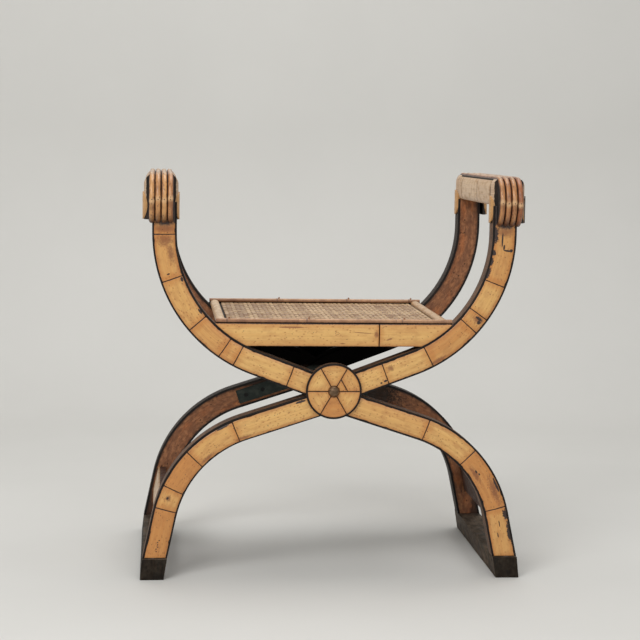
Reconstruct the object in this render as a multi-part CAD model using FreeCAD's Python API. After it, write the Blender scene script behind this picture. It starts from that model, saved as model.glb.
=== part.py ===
import FreeCAD, Part
import math
import os

from FreeCAD import Vector

# X-frame bench: two S-limbed frames of wood faced with split bamboo, a woven seat, armrests and runners.
# Millimetres. Left and right are as seen from the front: +X is right, +Y is towards the back, +Z is up.
# The origin is on the floor under the middle of the bench. Every frame piece is made for the front frame
# and mirrored to the back one, and every armrest and foot is made on the right and mirrored to the left.

# Overall layout
FRAME_DEPTH = 395.0      # outer face of the front frame to the outer face of the back frame
CROSS_Z = 328.0          # height where the lines of a frame's two arms cross
CROSS_ANGLE = 20.6       # slope of the arms at the crossing, degrees from level
LEG_DROP = 12.0          # how far below that the lines of the legs cross
LEG_CROSS_ANGLE = 18.0   # slope of the legs at the crossing, degrees from level
ARM_JOG = 30.0           # behind the boss a limb leaves the arm's line here, from the crossing,
LEG_JOG = 22.0           # and joins the leg's line here
ARM_X = 294.0            # middle of an upright arm, from the bench's middle
ARM_BEND = 240.0         # bend radius of the arm's centre line
ARM_UPRIGHT = 50.4       # straight length of the arm above its bend
LEG_BEND = 205.0         # bend radius of the leg's centre line
LEG_ANGLE = 78.0         # slope of the leg at its foot, degrees from level
FOOT_X = 307.6           # middle of a leg where it stands on its runner

# Limb section
LIMB_WIDTH = 42.0        # across the limb in the plane of its frame
LIMB_THICK = 34.0        # front to back, facing included
FACING = 3.0             # thickness of the split bamboo on limbs, aprons and stretchers
EDGE_STRIP = 4.0         # thickness of the dark lath on each edge of a limb

# Joints between the bamboo segments, as distances along the limb from the crossing
ARM_JOINTS = {"left": (81.0, 178.0, 205.0, 268.0, 356.0, 434.0), "right": (96.0, 177.0, 265.0, 292.0, 352.0)}
LEG_JOINTS = {"left": (178.0, 265.0, 330.0, 368.0), "right": (172.0, 262.0, 368.0)}
FACING_GAP = 0.5         # open joint between two lengths of facing

# Boss at the crossing
BOSS_D = 97.0
BOSS_LET_IN = 9.0        # how deep the disc is let into the limbs, under their facing
BOSS_PROUD = 6.0         # how far the disc stands proud of the limbs' facing
BOSS_RIM = 3.0           # dark rim round the bamboo sectors
BOSS_SECTORS = 6
BOSS_SPLIT_R = 24.0      # where the short joint crosses the first sector
BOSS_RISE = 3.0          # from the arms' crossing up to the boss's middle
STUD_D = 21.0
STUD_HEIGHT = 8.0
STUD_SHANK_D = 4.0
STUD_SHANK = 14.0

# Iron plates on the inner face of the crossing
PLATE_WIDTH = 26.0
PLATE_THICK = 4.0
PLATE_LEG_REACH = 158.0  # from the crossing to the plate's end on the leg
PLATE_ARM_REACH = 110.0  # from the crossing to the plate's end on the arm
PLATE_GAP = 2.0          # between the long plate and the short ones beside it
PLATE_SCREW_EDGE = 17.0  # from a plate's end to its last screw
PLATE_SCREW_PITCH = 34.0
SCREW_D = 4.5
SCREW_HEAD_D = 8.0
SCREW_HEAD = 2.5
SCREW_SUNK = 0.8         # the head lies below the plate's face
SCREW_LENGTH = 20.0

# Armrests
ARMREST_OUT = 6.0        # the armrest's middle stands this much further out than the arms' middle
BAR_HEIGHT = 45.5        # underside of the bar, where the arms end, to its top under the reeds
ROLL_R = 40.5            # round scroll ends under the reeds, level with the bar's top
REEDS = 4
REED_HEIGHT = 4.8
REED_GAP = 0.4           # between two reeds
PIN_D = 1.8
PIN_LENGTH = 14.0
PIN_HEAD = 0.4           # how far a pin stands out of its reed
SPLIT_DROP = 2.5         # from the bar's top to the split culm on its sides
SPLIT_BULGE = 7.0
SPLIT_JOINTS = (37.0, 199.0)      # joints of the split culm, from the back arm's inner face
CHEEK_DROP = 30.0        # how far the cheek reaches below the bar
CHEEK_BULGE = 8.5
CHEEK_ROUND = 24.5       # height over which the cheek rounds over to the bar's top
OVAL_HEIGHT = 47.0
OVAL_WIDTH = 30.0
OVAL_THICK = 2.2

# Seat
APRON_RISE = 81.0        # from the crossing up to the apron's underside
APRON_HEIGHT = 39.4
APRON_JOINT_X = 78.0
SEAT_CLEAR = 1.5         # from the seat board's end to the arms
SEAT_BOARD = 4.6
SEAT_LET_IN = 6.5        # how deep the seat board lies in the rebates along the aprons' tops
SEAT_FIT = 0.3           # between the board's edge and the rebate
MAT_THICK = 2.5
POLE_D = 8.0
POLE_INSET = 0.5         # from the frame's outer face to the pole
POLE_GAP = 0.3           # between the pole and the mat behind it
RAIL_WIDTH = 17.0
RAIL_HEIGHT = 7.5
RAIL_GAP = 3.0           # between the end rail and the mat
END_BOARD_THICK = 16.0
END_BOARD_INSET = 4.0    # from the seat board's end

# Runners and side stretchers
RUNNER_HEIGHT = 37.0
RUNNER_BOTTOM = 41.0     # width on the floor
RUNNER_SPLAY = 5.0       # the bottom stands this much further out than the top
RUNNER_PROUD = 6.0       # past the frames' outer faces
STRETCHER_LIFT = 48.0    # from the runner up to the stretcher
STRETCHER_HEIGHT = 46.0
STRETCHER_THICK = 14.0   # facing included
STRETCHER_INSET = 7.0    # from the legs' outer edge

# Dowels
DOWEL_FIT = 0.05         # radial clearance of every dowel, pin and screw
LIMB_DOWEL_D = 10.0
LIMB_DOWEL = 50.0
STRETCHER_DOWEL_D = 6.0
STRETCHER_DOWEL = 40.0
STRETCHER_DOWEL_PITCH = 24.0
APRON_DOWEL_D = 8.0
APRON_DOWEL = 50.0

# Derived sizes
FRONT = -FRAME_DEPTH / 2           # outer face of the front frame
CORE_FRONT = FRONT + FACING        # face of the wood under the facing
INNER = FRONT + LIMB_THICK         # inner face of the front frame
CORE_HALF = LIMB_WIDTH / 2 - EDGE_STRIP
CORE_MID = (CORE_FRONT + INNER) / 2
ARM_TURN = math.radians(90.0 - CROSS_ANGLE)
BEND_TOP = CROSS_Z + ARM_X / math.tan(ARM_TURN) + ARM_BEND * math.tan(ARM_TURN / 2)
BAR_BOTTOM = BEND_TOP + ARM_UPRIGHT
BAR_TOP = BAR_BOTTOM + BAR_HEIGHT
ARMREST_X = ARM_X + ARMREST_OUT
ROLL_Z = BAR_TOP - ROLL_R
ROLL_Y = FRONT + LIMB_THICK / 2
CHEEK_BOTTOM = BAR_BOTTOM - CHEEK_DROP
CHEEK_SHOULDER = BAR_TOP - CHEEK_ROUND
OVAL_Z = CHEEK_BOTTOM + OVAL_HEIGHT / 2
APRON_BOTTOM = CROSS_Z + APRON_RISE
BOSS_Z = CROSS_Z + BOSS_RISE
APRON_TOP = APRON_BOTTOM + APRON_HEIGHT
BOARD_BOTTOM = APRON_TOP - SEAT_LET_IN
SEAT_TOP = BOARD_BOTTOM + SEAT_BOARD
SEAT_EDGE = FRONT + POLE_INSET + POLE_D + POLE_GAP     # front edge of the seat board and mat
STRETCHER_BOTTOM = RUNNER_HEIGHT + STRETCHER_LIFT
STRETCHER_TOP = STRETCHER_BOTTOM + STRETCHER_HEIGHT
BOSS_FACE = FRONT - BOSS_PROUD
BIG = 3 * FRAME_DEPTH
LEFT = Vector(-1, 0, 0)
AHEAD = Vector(0, 1, 0)
UP = Vector(0, 0, 1)

nodes = {}


def mirror_x(shape):
    return shape.mirror(Vector(), Vector(1, 0, 0))


def mirror_y(shape):
    return shape.mirror(Vector(), Vector(0, 1, 0))


def box(x0, x1, y0, y1, z0, z1):
    return Part.makeBox(x1 - x0, y1 - y0, z1 - z0, Vector(x0, y0, z0))


def rod(diameter, start, direction, length):
    return Part.makeCylinder(diameter / 2, length, start, direction)


def prism(edges, travel):
    """Solid from a closed outline and a straight travel."""
    outline = [edge.toShape() if hasattr(edge, "toShape") else edge for edge in edges]
    return Part.Face(Part.Wire(outline)).extrude(travel)


def polygon(points, travel):
    return Part.Face(Part.makePolygon(points + points[:1])).extrude(travel)


def segment_prism(chord_start, chord_end, crown, travel):
    """Solid between a chord and the arc over it."""
    arc = Part.Arc(chord_start, crown, chord_end)
    return prism([arc, Part.LineSegment(chord_end, chord_start)], travel)


def largest(shape):
    return max(shape.Solids, key=lambda solid: solid.Volume)


def add(name, *shapes):
    """Keep shapes as one node, each solid a piece of its own."""
    solids = [solid for shape in shapes for solid in shape.Solids]
    nodes[name] = solids[0] if len(solids) == 1 else Part.makeCompound(solids)


class Limb:
    """Centre line of a limb half: straight from the crossing, one bend, then straight to its end."""

    def __init__(self, sign, cross_z, cross_angle, end_x, end_z, end_angle, radius):
        self.sign = sign
        self.cross_z = cross_z
        slope = math.radians(cross_angle)
        end_slope = math.radians(end_angle)
        cot = math.cos(end_slope) / math.sin(end_slope)
        rise = (end_z - cross_z) * sign
        corner_x = (end_x - rise * cot) / (1 - math.tan(slope) * cot)
        tangent = radius * math.tan((end_slope - slope) / 2)
        self.slope = slope
        self.end_slope = end_slope
        self.radius = radius
        self.straight = corner_x / math.cos(slope) - tangent
        self.bend = radius * (end_slope - slope)
        bend_end_x = corner_x + tangent * math.cos(end_slope)
        bend_end_z = math.tan(slope) * corner_x + tangent * math.sin(end_slope)
        self.length = self.straight + self.bend + math.hypot(end_x - bend_end_x, rise - bend_end_z)

    def angle(self, s):
        """Slope of the centre line at a distance from the crossing."""
        turned = (s - self.straight) / self.radius
        return self.slope + min(max(turned, 0.0), self.end_slope - self.slope)

    def at(self, s, offset=0.0):
        """Point at a distance from the crossing, moved sideways: plus is the outer edge of the bend."""
        angle = self.angle(s)
        along = min(s, self.straight)
        x = along * math.cos(self.slope)
        rise = along * math.sin(self.slope)
        if s > self.straight:
            x += self.radius * (math.sin(angle) - math.sin(self.slope))
            rise += self.radius * (math.cos(self.slope) - math.cos(angle))
        past = s - self.straight - self.bend
        if past > 0:
            x += past * math.cos(angle)
            rise += past * math.sin(angle)
        x += offset * math.sin(angle)
        rise -= offset * math.cos(angle)
        return Vector(x, 0, self.cross_z + self.sign * rise)

    def edge(self, s0, s1, offset):
        """Parallel to the centre line from s0 to s1, as lines and one arc."""
        bends = (self.straight, self.straight + self.bend)
        stops = [s0] + [s for s in bends if s0 < s < s1] + [s1]
        edges = []
        for start, end in zip(stops, stops[1:]):
            middle = (start + end) / 2
            first, last = self.at(start, offset), self.at(end, offset)
            if bends[0] < middle < bends[1]:
                edges.append(Part.Arc(first, self.at(middle, offset), last))
            else:
                edges.append(Part.LineSegment(first, last))
        return edges

    def band(self, s0, s1, low, high, y0, y1):
        """Solid strip between two distances along the limb, two offsets and two depths."""
        edges = self.edge(s0, s1, low) + self.edge(s0, s1, high)
        edges.append(Part.LineSegment(self.at(s0, low), self.at(s0, high)))
        edges.append(Part.LineSegment(self.at(s1, low), self.at(s1, high)))
        wire = Part.Wire(Part.__sortEdges__([edge.toShape() for edge in edges]))
        solid = Part.Face(wire).extrude(Vector(0, y1 - y0, 0))
        solid.translate(Vector(0, y0, 0))
        return solid


ARM = Limb(1, CROSS_Z, CROSS_ANGLE, ARM_X, BAR_BOTTOM, 90.0, ARM_BEND)
LEG = Limb(-1, CROSS_Z - LEG_DROP, LEG_CROSS_ANGLE, FOOT_X, RUNNER_HEIGHT, LEG_ANGLE, LEG_BEND)
FOOT_SPARE = LIMB_WIDTH       # extra length that the runner's top cuts off
FLOOR_CUT = box(-BIG, BIG, -BIG, BIG, -BIG, RUNNER_HEIGHT)


def limb_length(arm_end, leg_end, low, high, y0, y1):
    """A limb's length, arm right and leg left, with the short run that joins their two lines."""
    arm = ARM.band(ARM_JOG, arm_end, low, high, y0, y1)
    leg = mirror_x(LEG.band(LEG_JOG, leg_end, -high, -low, y0, y1))
    corners = [ARM.at(ARM_JOG, low), ARM.at(ARM_JOG, high)]
    corners += [Vector(-point.x, 0, point.z) for point in (LEG.at(LEG_JOG, -high), LEG.at(LEG_JOG, -low))]
    joining = polygon([corner + AHEAD * y0 for corner in corners], AHEAD * (y1 - y0))
    return arm.fuse([joining, leg]).removeSplitter()


def limb_strip(low, high, y0, y1):
    """One whole limb, from the bar to the runner, between two offsets from its centre line."""
    return limb_length(ARM.length, LEG.length + FOOT_SPARE, low, high, y0, y1).cut(FLOOR_CUT)


def leg_line_x(z, offset):
    """X of a line parallel to the straight foot of a right leg, offset outwards."""
    slope = math.radians(LEG_ANGLE)
    return FOOT_X - (z - RUNNER_HEIGHT) / math.tan(slope) + offset / math.sin(slope)


def limb_dowel_places():
    """Bottom ends of the front frame's dowels, with their directions: arms to bars, then legs to runners."""
    slope = math.radians(LEG_ANGLE)
    down = Vector(math.cos(slope), 0, -math.sin(slope))
    places = []
    for side in (-1, 1):
        places.append((Vector(side * ARM_X, CORE_MID, BAR_BOTTOM - LIMB_DOWEL / 2), UP))
        along = Vector(side * down.x, 0, down.z)
        start = Vector(side * FOOT_X, CORE_MID, RUNNER_HEIGHT) - along * (LIMB_DOWEL / 2)
        places.append((start, along))
    return places


def stretcher_dowel_places():
    """Starts of the right stretcher's dowels in the front leg, all running backwards."""
    middle = (STRETCHER_BOTTOM + STRETCHER_TOP) / 2
    offset = LIMB_WIDTH / 2 - STRETCHER_INSET - FACING - (STRETCHER_THICK - FACING) / 2
    heights = (middle - STRETCHER_DOWEL_PITCH / 2, middle + STRETCHER_DOWEL_PITCH / 2)
    y = INNER - STRETCHER_DOWEL / 2
    return [Vector(leg_line_x(z, offset), y, z) for z in heights]


def arm_inner_x(z):
    """X of the right arm's inner edge at a height within its bend."""
    reach = ARM_BEND - LIMB_WIDTH / 2
    return ARM_X - ARM_BEND + math.sqrt(reach ** 2 - (BEND_TOP - z) ** 2)


def seat_half(z):
    """Half the length of a seat piece whose lowest corner is at a height between the arms."""
    return arm_inner_x(z) - SEAT_CLEAR


def apron_dowel_place():
    """Start of the right end's apron dowel, which runs from the apron into the arm."""
    z = (APRON_BOTTOM + APRON_TOP) / 2
    return Vector(arm_inner_x(z) - APRON_DOWEL / 2, CORE_MID, z)


def plate_screw_places():
    """Distance along the limb, limb half and side of each plate screw of one frame."""
    plates = [(ARM, PLATE_ARM_REACH, 1), (LEG, PLATE_LEG_REACH, -1)]
    plates += [(ARM, PLATE_ARM_REACH, -1), (LEG, PLATE_ARM_REACH, 1)]
    places = []
    for half, reach, side in plates:
        last = reach - PLATE_SCREW_EDGE
        places += [(half, last - PLATE_SCREW_PITCH, side), (half, last, side)]
    return places


def screw_axis_point(half, s, side):
    point = half.at(s)
    return Vector(side * point.x, 0, point.z)


def dowel_set(fit):
    """Every hidden dowel of the bench, or with a fit the holes that take them."""
    limb, stretcher, apron = [], [], []
    for start, direction in limb_dowel_places():
        limb.append(rod(LIMB_DOWEL_D + 2 * fit, start - direction * fit, direction, LIMB_DOWEL + 2 * fit))
    for start in stretcher_dowel_places():
        length = STRETCHER_DOWEL + 2 * fit
        peg = rod(STRETCHER_DOWEL_D + 2 * fit, start - AHEAD * fit, AHEAD, length)
        stretcher += [peg, mirror_x(peg)]
    start = apron_dowel_place() + LEFT * fit
    peg = rod(APRON_DOWEL_D + 2 * fit, start, -LEFT, APRON_DOWEL + 2 * fit)
    apron += [peg, mirror_x(peg)]
    return [group + [mirror_y(peg) for peg in group] for group in (limb, stretcher, apron)]


def make_dowels():
    for name, pegs in zip(("limb_dowels", "stretcher_dowels", "apron_dowels"), dowel_set(0.0)):
        add(name, *pegs)


def screw(half, s, side, fit=0.0):
    """Plate screw with its head sunk in the plate, or the space it takes."""
    point = screw_axis_point(half, s, side)
    face = INNER + PLATE_THICK - (0.0 if fit else SCREW_SUNK)
    head_top = Vector(point.x, face, point.z)
    head_depth = SCREW_HEAD + (SCREW_SUNK if fit else 0.0)
    head = rod(SCREW_HEAD_D + 2 * fit, head_top, -AHEAD, head_depth)
    shank = rod(SCREW_D + 2 * fit, head_top, -AHEAD, SCREW_LENGTH + (SCREW_SUNK + fit if fit else 0.0))
    return head.fuse(shank).removeSplitter()


def boss_cylinder(radius, y0, y1):
    return rod(2 * radius, Vector(0, y0, BOSS_Z), AHEAD, y1 - y0)


LIMB_HOLES, STRETCHER_HOLES, APRON_HOLES = dowel_set(DOWEL_FIT)
DOWEL_HOLES = LIMB_HOLES + STRETCHER_HOLES + APRON_HOLES


def make_limbs(frame, flip):
    """Two cores halved across each other, their edge strips, and the boss let into both."""
    right = limb_strip(-CORE_HALF, CORE_HALF, CORE_FRONT, INNER)
    left = mirror_x(right)
    crossing = right.common(left).common(box(-BOSS_D, BOSS_D, -BIG, BIG, 0, 2 * CROSS_Z))
    front_half = crossing.common(box(-BIG, BIG, -BIG, CORE_MID, 0, BIG))
    back_half = crossing.common(box(-BIG, BIG, CORE_MID, BIG, 0, BIG))
    recess = boss_cylinder(BOSS_D / 2, FRONT, CORE_FRONT + BOSS_LET_IN)
    screws = [screw(*place, fit=DOWEL_FIT) for place in plate_screw_places()]
    fasteners = Part.makeCompound(DOWEL_HOLES + screws)
    cores = {"right": right.cut(front_half), "left": left.cut(back_half)}
    high = LIMB_WIDTH / 2
    strips = [limb_strip(CORE_HALF, high, FRONT, INNER), limb_strip(-high, -CORE_HALF, FRONT, INNER)]
    bare = {"right": strips, "left": [mirror_x(strip) for strip in strips]}
    for side, other in (("right", left), ("left", right)):
        whole = other.fuse(other.translated(Vector(0, -FACING, 0)))
        bare[side] = [strip.cut(whole) for strip in bare[side]]
    bare["left"] = [strip.cut(Part.makeCompound(bare["right"])) for strip in bare["left"]]
    for side in ("left", "right"):
        core = largest(cores[side].cut(recess).cut(fasteners))
        edges = [strip.cut(recess).cut(fasteners) for strip in bare[side]]
        add(f"{frame}_limb_{side}", flip(core))
        add(f"{frame}_limb_{side}_edges", *[flip(edge) for edge in edges])


def make_facing(frame, flip, part, half, side, joints):
    """Segments of split bamboo along one arm or leg, from the boss to its end."""
    spare = FOOT_SPARE if half is LEG else 0.0
    joints = [s for s in joints if s < half.length - LIMB_WIDTH]
    stops = [0.0] + joints + [half.length + spare]
    boss = boss_cylinder(BOSS_D / 2, FRONT - FACING, CORE_FRONT + FACING)
    pieces = []
    for index, (start, end) in enumerate(zip(stops, stops[1:])):
        first = start + (FACING_GAP / 2 if index else 0.0)
        last = end - (FACING_GAP / 2 if index < len(joints) else 0.0)
        piece = half.band(first, last, -CORE_HALF, CORE_HALF, FRONT, CORE_FRONT)
        piece = largest(piece.cut(boss).cut(FLOOR_CUT))
        pieces.append(flip(mirror_x(piece) if side == "left" else piece))
    add(f"{frame}_{part}_{side}_facing", *pieces)


def make_boss(frame, flip):
    """Dark disc, bamboo sectors let into its face, and a domed stud through the middle."""
    radius = BOSS_D / 2
    pocket_r = radius - BOSS_RIM
    shank_end = BOSS_FACE + STUD_SHANK
    shank = boss_cylinder(STUD_SHANK_D / 2, BOSS_FACE - STUD_HEIGHT / 2, shank_end)
    shank_hole = boss_cylinder(STUD_SHANK_D / 2 + DOWEL_FIT, BOSS_FACE, shank_end + DOWEL_FIT)
    disc = boss_cylinder(radius, BOSS_FACE, CORE_FRONT + BOSS_LET_IN)
    disc = disc.cut(boss_cylinder(pocket_r, BOSS_FACE, BOSS_FACE + FACING)).cut(shank_hole)
    add(f"{frame}_boss_disc", flip(disc))

    step = 2 * math.pi / BOSS_SECTORS
    whole = boss_cylinder(pocket_r, BOSS_FACE, BOSS_FACE + FACING).cut(shank_hole)
    gap = FACING_GAP / 2
    slots = []
    for index in range(BOSS_SECTORS):
        slot = box(0, BOSS_D, BOSS_FACE, CORE_FRONT, -gap, gap)
        slot.rotate(Vector(), -AHEAD, math.degrees(index * step))
        slot.translate(Vector(0, 0, BOSS_Z))
        slots.append(slot)
    split = box(BOSS_SPLIT_R, BOSS_SPLIT_R + FACING_GAP, BOSS_FACE, CORE_FRONT, -BOSS_SPLIT_R, BOSS_SPLIT_R)
    split.rotate(Vector(), -AHEAD, math.degrees(step / 2))
    split.translate(Vector(0, 0, BOSS_Z))
    pieces = []
    for piece in whole.cut(Part.makeCompound(slots)).Solids:
        middle = piece.CenterOfMass - Vector(0, 0, BOSS_Z)
        bearing = math.atan2(middle.z, middle.x) % (2 * math.pi)
        pieces += piece.cut(split).Solids if bearing < step else [piece]
    add(f"{frame}_boss_facing", *[flip(piece) for piece in pieces])

    dome_r = (STUD_HEIGHT ** 2 + (STUD_D / 2) ** 2) / (2 * STUD_HEIGHT)
    ball = Part.makeSphere(dome_r, Vector(0, BOSS_FACE - STUD_HEIGHT + dome_r, BOSS_Z))
    dome = ball.common(boss_cylinder(BOSS_D, BOSS_FACE - STUD_HEIGHT, BOSS_FACE))
    add(f"{frame}_boss_stud", flip(dome.fuse(shank).removeSplitter()))


def make_plates(frame, flip):
    """A long iron strap along one limb and two short ones along the other, screwed to the inner face."""
    low, high = -PLATE_WIDTH / 2, PLATE_WIDTH / 2
    back = INNER + PLATE_THICK
    long_plate = limb_length(PLATE_ARM_REACH, PLATE_LEG_REACH, low, high, INNER, back)
    half_angle = math.radians(CROSS_ANGLE)
    clear = (PLATE_WIDTH / 2) / math.tan(half_angle) + PLATE_GAP
    short_arm = mirror_x(ARM.band(clear, PLATE_ARM_REACH, low, high, INNER, back))
    short_leg = LEG.band(clear, PLATE_ARM_REACH, low, high, INNER, back)
    screws = [screw(*place) for place in plate_screw_places()]
    holes = Part.makeCompound([screw(*place, fit=DOWEL_FIT) for place in plate_screw_places()])
    plates = [plate.cut(holes) for plate in (long_plate, short_arm, short_leg)]
    add(f"{frame}_crossing_plates", *[flip(plate) for plate in plates])
    add(f"{frame}_plate_screws", *[flip(item) for item in screws])


def make_apron(frame, flip):
    """Board across the frame, rebated for the seat and cut to the arms, with its facing in two lengths."""
    arm = ARM.band(0, ARM.length, -LIMB_WIDTH / 2, LIMB_WIDTH, FRONT, INNER)
    arms = arm.fuse(mirror_x(arm))
    board = box(-ARM_X, ARM_X, CORE_FRONT, INNER, APRON_BOTTOM, APRON_TOP).cut(arms)
    board = min(board.Solids, key=lambda solid: abs(solid.CenterOfMass.x))
    rebate = box(-ARM_X, ARM_X, SEAT_EDGE - SEAT_FIT, INNER, BOARD_BOTTOM, APRON_TOP)
    board = board.cut(Part.makeCompound(APRON_HOLES)).cut(rebate)
    add(f"{frame}_apron", flip(board))
    facing = box(-ARM_X, ARM_X, FRONT, CORE_FRONT, APRON_BOTTOM, APRON_TOP).cut(arms)
    facing = min(facing.Solids, key=lambda solid: abs(solid.CenterOfMass.x))
    gap = FACING_GAP / 2
    joint = box(APRON_JOINT_X - gap, APRON_JOINT_X + gap, FRONT, CORE_FRONT, APRON_BOTTOM, APRON_TOP)
    add(f"{frame}_apron_facing", *[flip(piece) for piece in facing.cut(joint).Solids])
    pole_y = FRONT + POLE_INSET + POLE_D / 2
    half = seat_half(APRON_TOP)
    pole = rod(POLE_D, Vector(-half, pole_y, APRON_TOP + POLE_D / 2), -LEFT, 2 * half)
    add(f"{frame}_seat_pole", flip(pole))


def make_frame(frame, flip):
    make_limbs(frame, flip)
    for side in ("left", "right"):
        make_facing(frame, flip, "arm", ARM, side, ARM_JOINTS[side])
        make_facing(frame, flip, "leg", LEG, side, LEG_JOINTS[side])
    make_boss(frame, flip)
    make_plates(frame, flip)
    make_apron(frame, flip)


def make_seat():
    """Board in the aprons' rebates, the mat on it, half-round rails over its ends and boards under them."""
    board_half = seat_half(BOARD_BOTTOM)
    add("seat_board", box(-board_half, board_half, SEAT_EDGE, -SEAT_EDGE, BOARD_BOTTOM, SEAT_TOP))
    rail_end = seat_half(SEAT_TOP)
    mat_half = rail_end - RAIL_WIDTH - RAIL_GAP
    add("seat_mat", box(-mat_half, mat_half, SEAT_EDGE, -SEAT_EDGE, SEAT_TOP, SEAT_TOP + MAT_THICK))
    inner_foot = Vector(rail_end - RAIL_WIDTH, SEAT_EDGE, SEAT_TOP)
    outer_foot = Vector(rail_end, SEAT_EDGE, SEAT_TOP)
    crown = Vector(rail_end - RAIL_WIDTH / 2, SEAT_EDGE, SEAT_TOP + RAIL_HEIGHT)
    rail = segment_prism(inner_foot, outer_foot, crown, Vector(0, -2 * SEAT_EDGE, 0))
    add("seat_end_rails", rail, mirror_x(rail))
    outer = board_half - END_BOARD_INSET
    board = box(outer - END_BOARD_THICK, outer, INNER, -INNER, APRON_BOTTOM, BOARD_BOTTOM)
    add("seat_end_boards", board, mirror_x(board))


def reed(index):
    """Half-round reed from the foot of the front scroll, over the bar, to the foot of the back scroll."""
    pitch = LIMB_WIDTH / REEDS
    middle = ARMREST_X + (index - (REEDS - 1) / 2) * pitch
    half = (pitch - REED_GAP) / 2
    tuck = math.degrees(math.acos((LIMB_THICK / 2) / ROLL_R))
    start = Vector(middle - half, ROLL_Y, BAR_TOP)
    end = Vector(middle + half, ROLL_Y, BAR_TOP)
    crown = Vector(middle, ROLL_Y, BAR_TOP + REED_HEIGHT)
    outline = [Part.Arc(start, crown, end).toShape(), Part.LineSegment(end, start).toShape()]
    section = Part.Face(Part.Wire(outline))
    bend = section.revolve(Vector(0, ROLL_Y, ROLL_Z), Vector(1, 0, 0), 90.0 + tuck)
    top = section.extrude(Vector(0, -2 * ROLL_Y, 0))
    return bend.fuse([top, mirror_y(bend)]).removeSplitter()


def make_armrest(side, flip):
    """Bar on the arms, scroll ends, reeds over both, split culm on its sides, cheeks and their ovals."""
    x0, x1 = ARMREST_X - LIMB_WIDTH / 2, ARMREST_X + LIMB_WIDTH / 2
    along = Vector(LIMB_WIDTH, 0, 0)
    back_roll = -ROLL_Y
    front_edge = math.sqrt(ROLL_R ** 2 - (LIMB_THICK / 2) ** 2)
    mid_y = ROLL_Y - ROLL_R * math.sin(math.asin((LIMB_THICK / 2) / ROLL_R) / 2)
    mid_z = ROLL_Z + math.sqrt(ROLL_R ** 2 - (ROLL_Y - mid_y) ** 2)

    def corner(y, z):
        return Vector(x0, y, z)

    shoulder = ROLL_Z + front_edge
    outline = [
        Part.LineSegment(corner(FRONT, BAR_BOTTOM), corner(-FRONT, BAR_BOTTOM)),
        Part.LineSegment(corner(-FRONT, BAR_BOTTOM), corner(-FRONT, shoulder)),
        Part.Arc(corner(-FRONT, shoulder), corner(-mid_y, mid_z), corner(back_roll, BAR_TOP)),
        Part.LineSegment(corner(back_roll, BAR_TOP), corner(ROLL_Y, BAR_TOP)),
        Part.Arc(corner(ROLL_Y, BAR_TOP), corner(mid_y, mid_z), corner(FRONT, shoulder)),
        Part.LineSegment(corner(FRONT, shoulder), corner(FRONT, BAR_BOTTOM)),
    ]
    bar = prism(outline, along).cut(Part.makeCompound(LIMB_HOLES))
    add(f"{side}_armrest_bar", flip(bar))

    nose = corner(ROLL_Y - ROLL_R, ROLL_Z)
    block = segment_prism(corner(FRONT, ROLL_Z - front_edge), corner(FRONT, shoulder), nose, along)
    holes = pin_set(DOWEL_FIT)
    block = block.cut(Part.makeCompound(holes))
    add(f"{side}_scroll_blocks", flip(block), flip(mirror_y(block)))
    both_ends = Part.makeCompound(holes + [mirror_y(hole) for hole in holes])
    reeds = [reed(index).cut(both_ends) for index in range(REEDS)]
    add(f"{side}_armrest_reeds", *[flip(item) for item in reeds])

    low = Vector(x0, INNER, BAR_BOTTOM)
    high = Vector(x0, INNER, BAR_TOP - SPLIT_DROP)
    crown = Vector(x0 - SPLIT_BULGE, INNER, (low.z + high.z) / 2)
    culm = segment_prism(low, high, crown, Vector(0, -2 * INNER, 0))
    gap = FACING_GAP / 2
    cuts = [box(-BIG, BIG, -INNER - y - gap, -INNER - y + gap, 0, BIG) for y in SPLIT_JOINTS]
    splits = culm.cut(Part.makeCompound(cuts)).Solids
    over = [about_bar(piece) for piece in splits]
    add(f"{side}_inner_splits", *[flip(piece) for piece in splits])
    add(f"{side}_outer_splits", *[flip(piece) for piece in over])

    cheek, oval = cheek_pair(x1)
    arm = box(ARM_X - LIMB_WIDTH / 2, ARM_X + LIMB_WIDTH / 2, FRONT, INNER, 0, BAR_BOTTOM)
    cheeks = [cheek, largest(about_bar(cheek).cut(arm))]
    ovals = [oval, largest(about_bar(oval).cut(arm))]
    add(f"{side}_scroll_cheeks", *[flip(item) for piece in cheeks for item in (piece, mirror_y(piece))])
    add(f"{side}_scroll_ovals", *[flip(item) for piece in ovals for item in (piece, mirror_y(piece))])


def about_bar(shape):
    """Mirror image on the other side of the right armrest's bar."""
    return shape.mirror(Vector(ARMREST_X, 0, 0), Vector(1, 0, 0))


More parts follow.
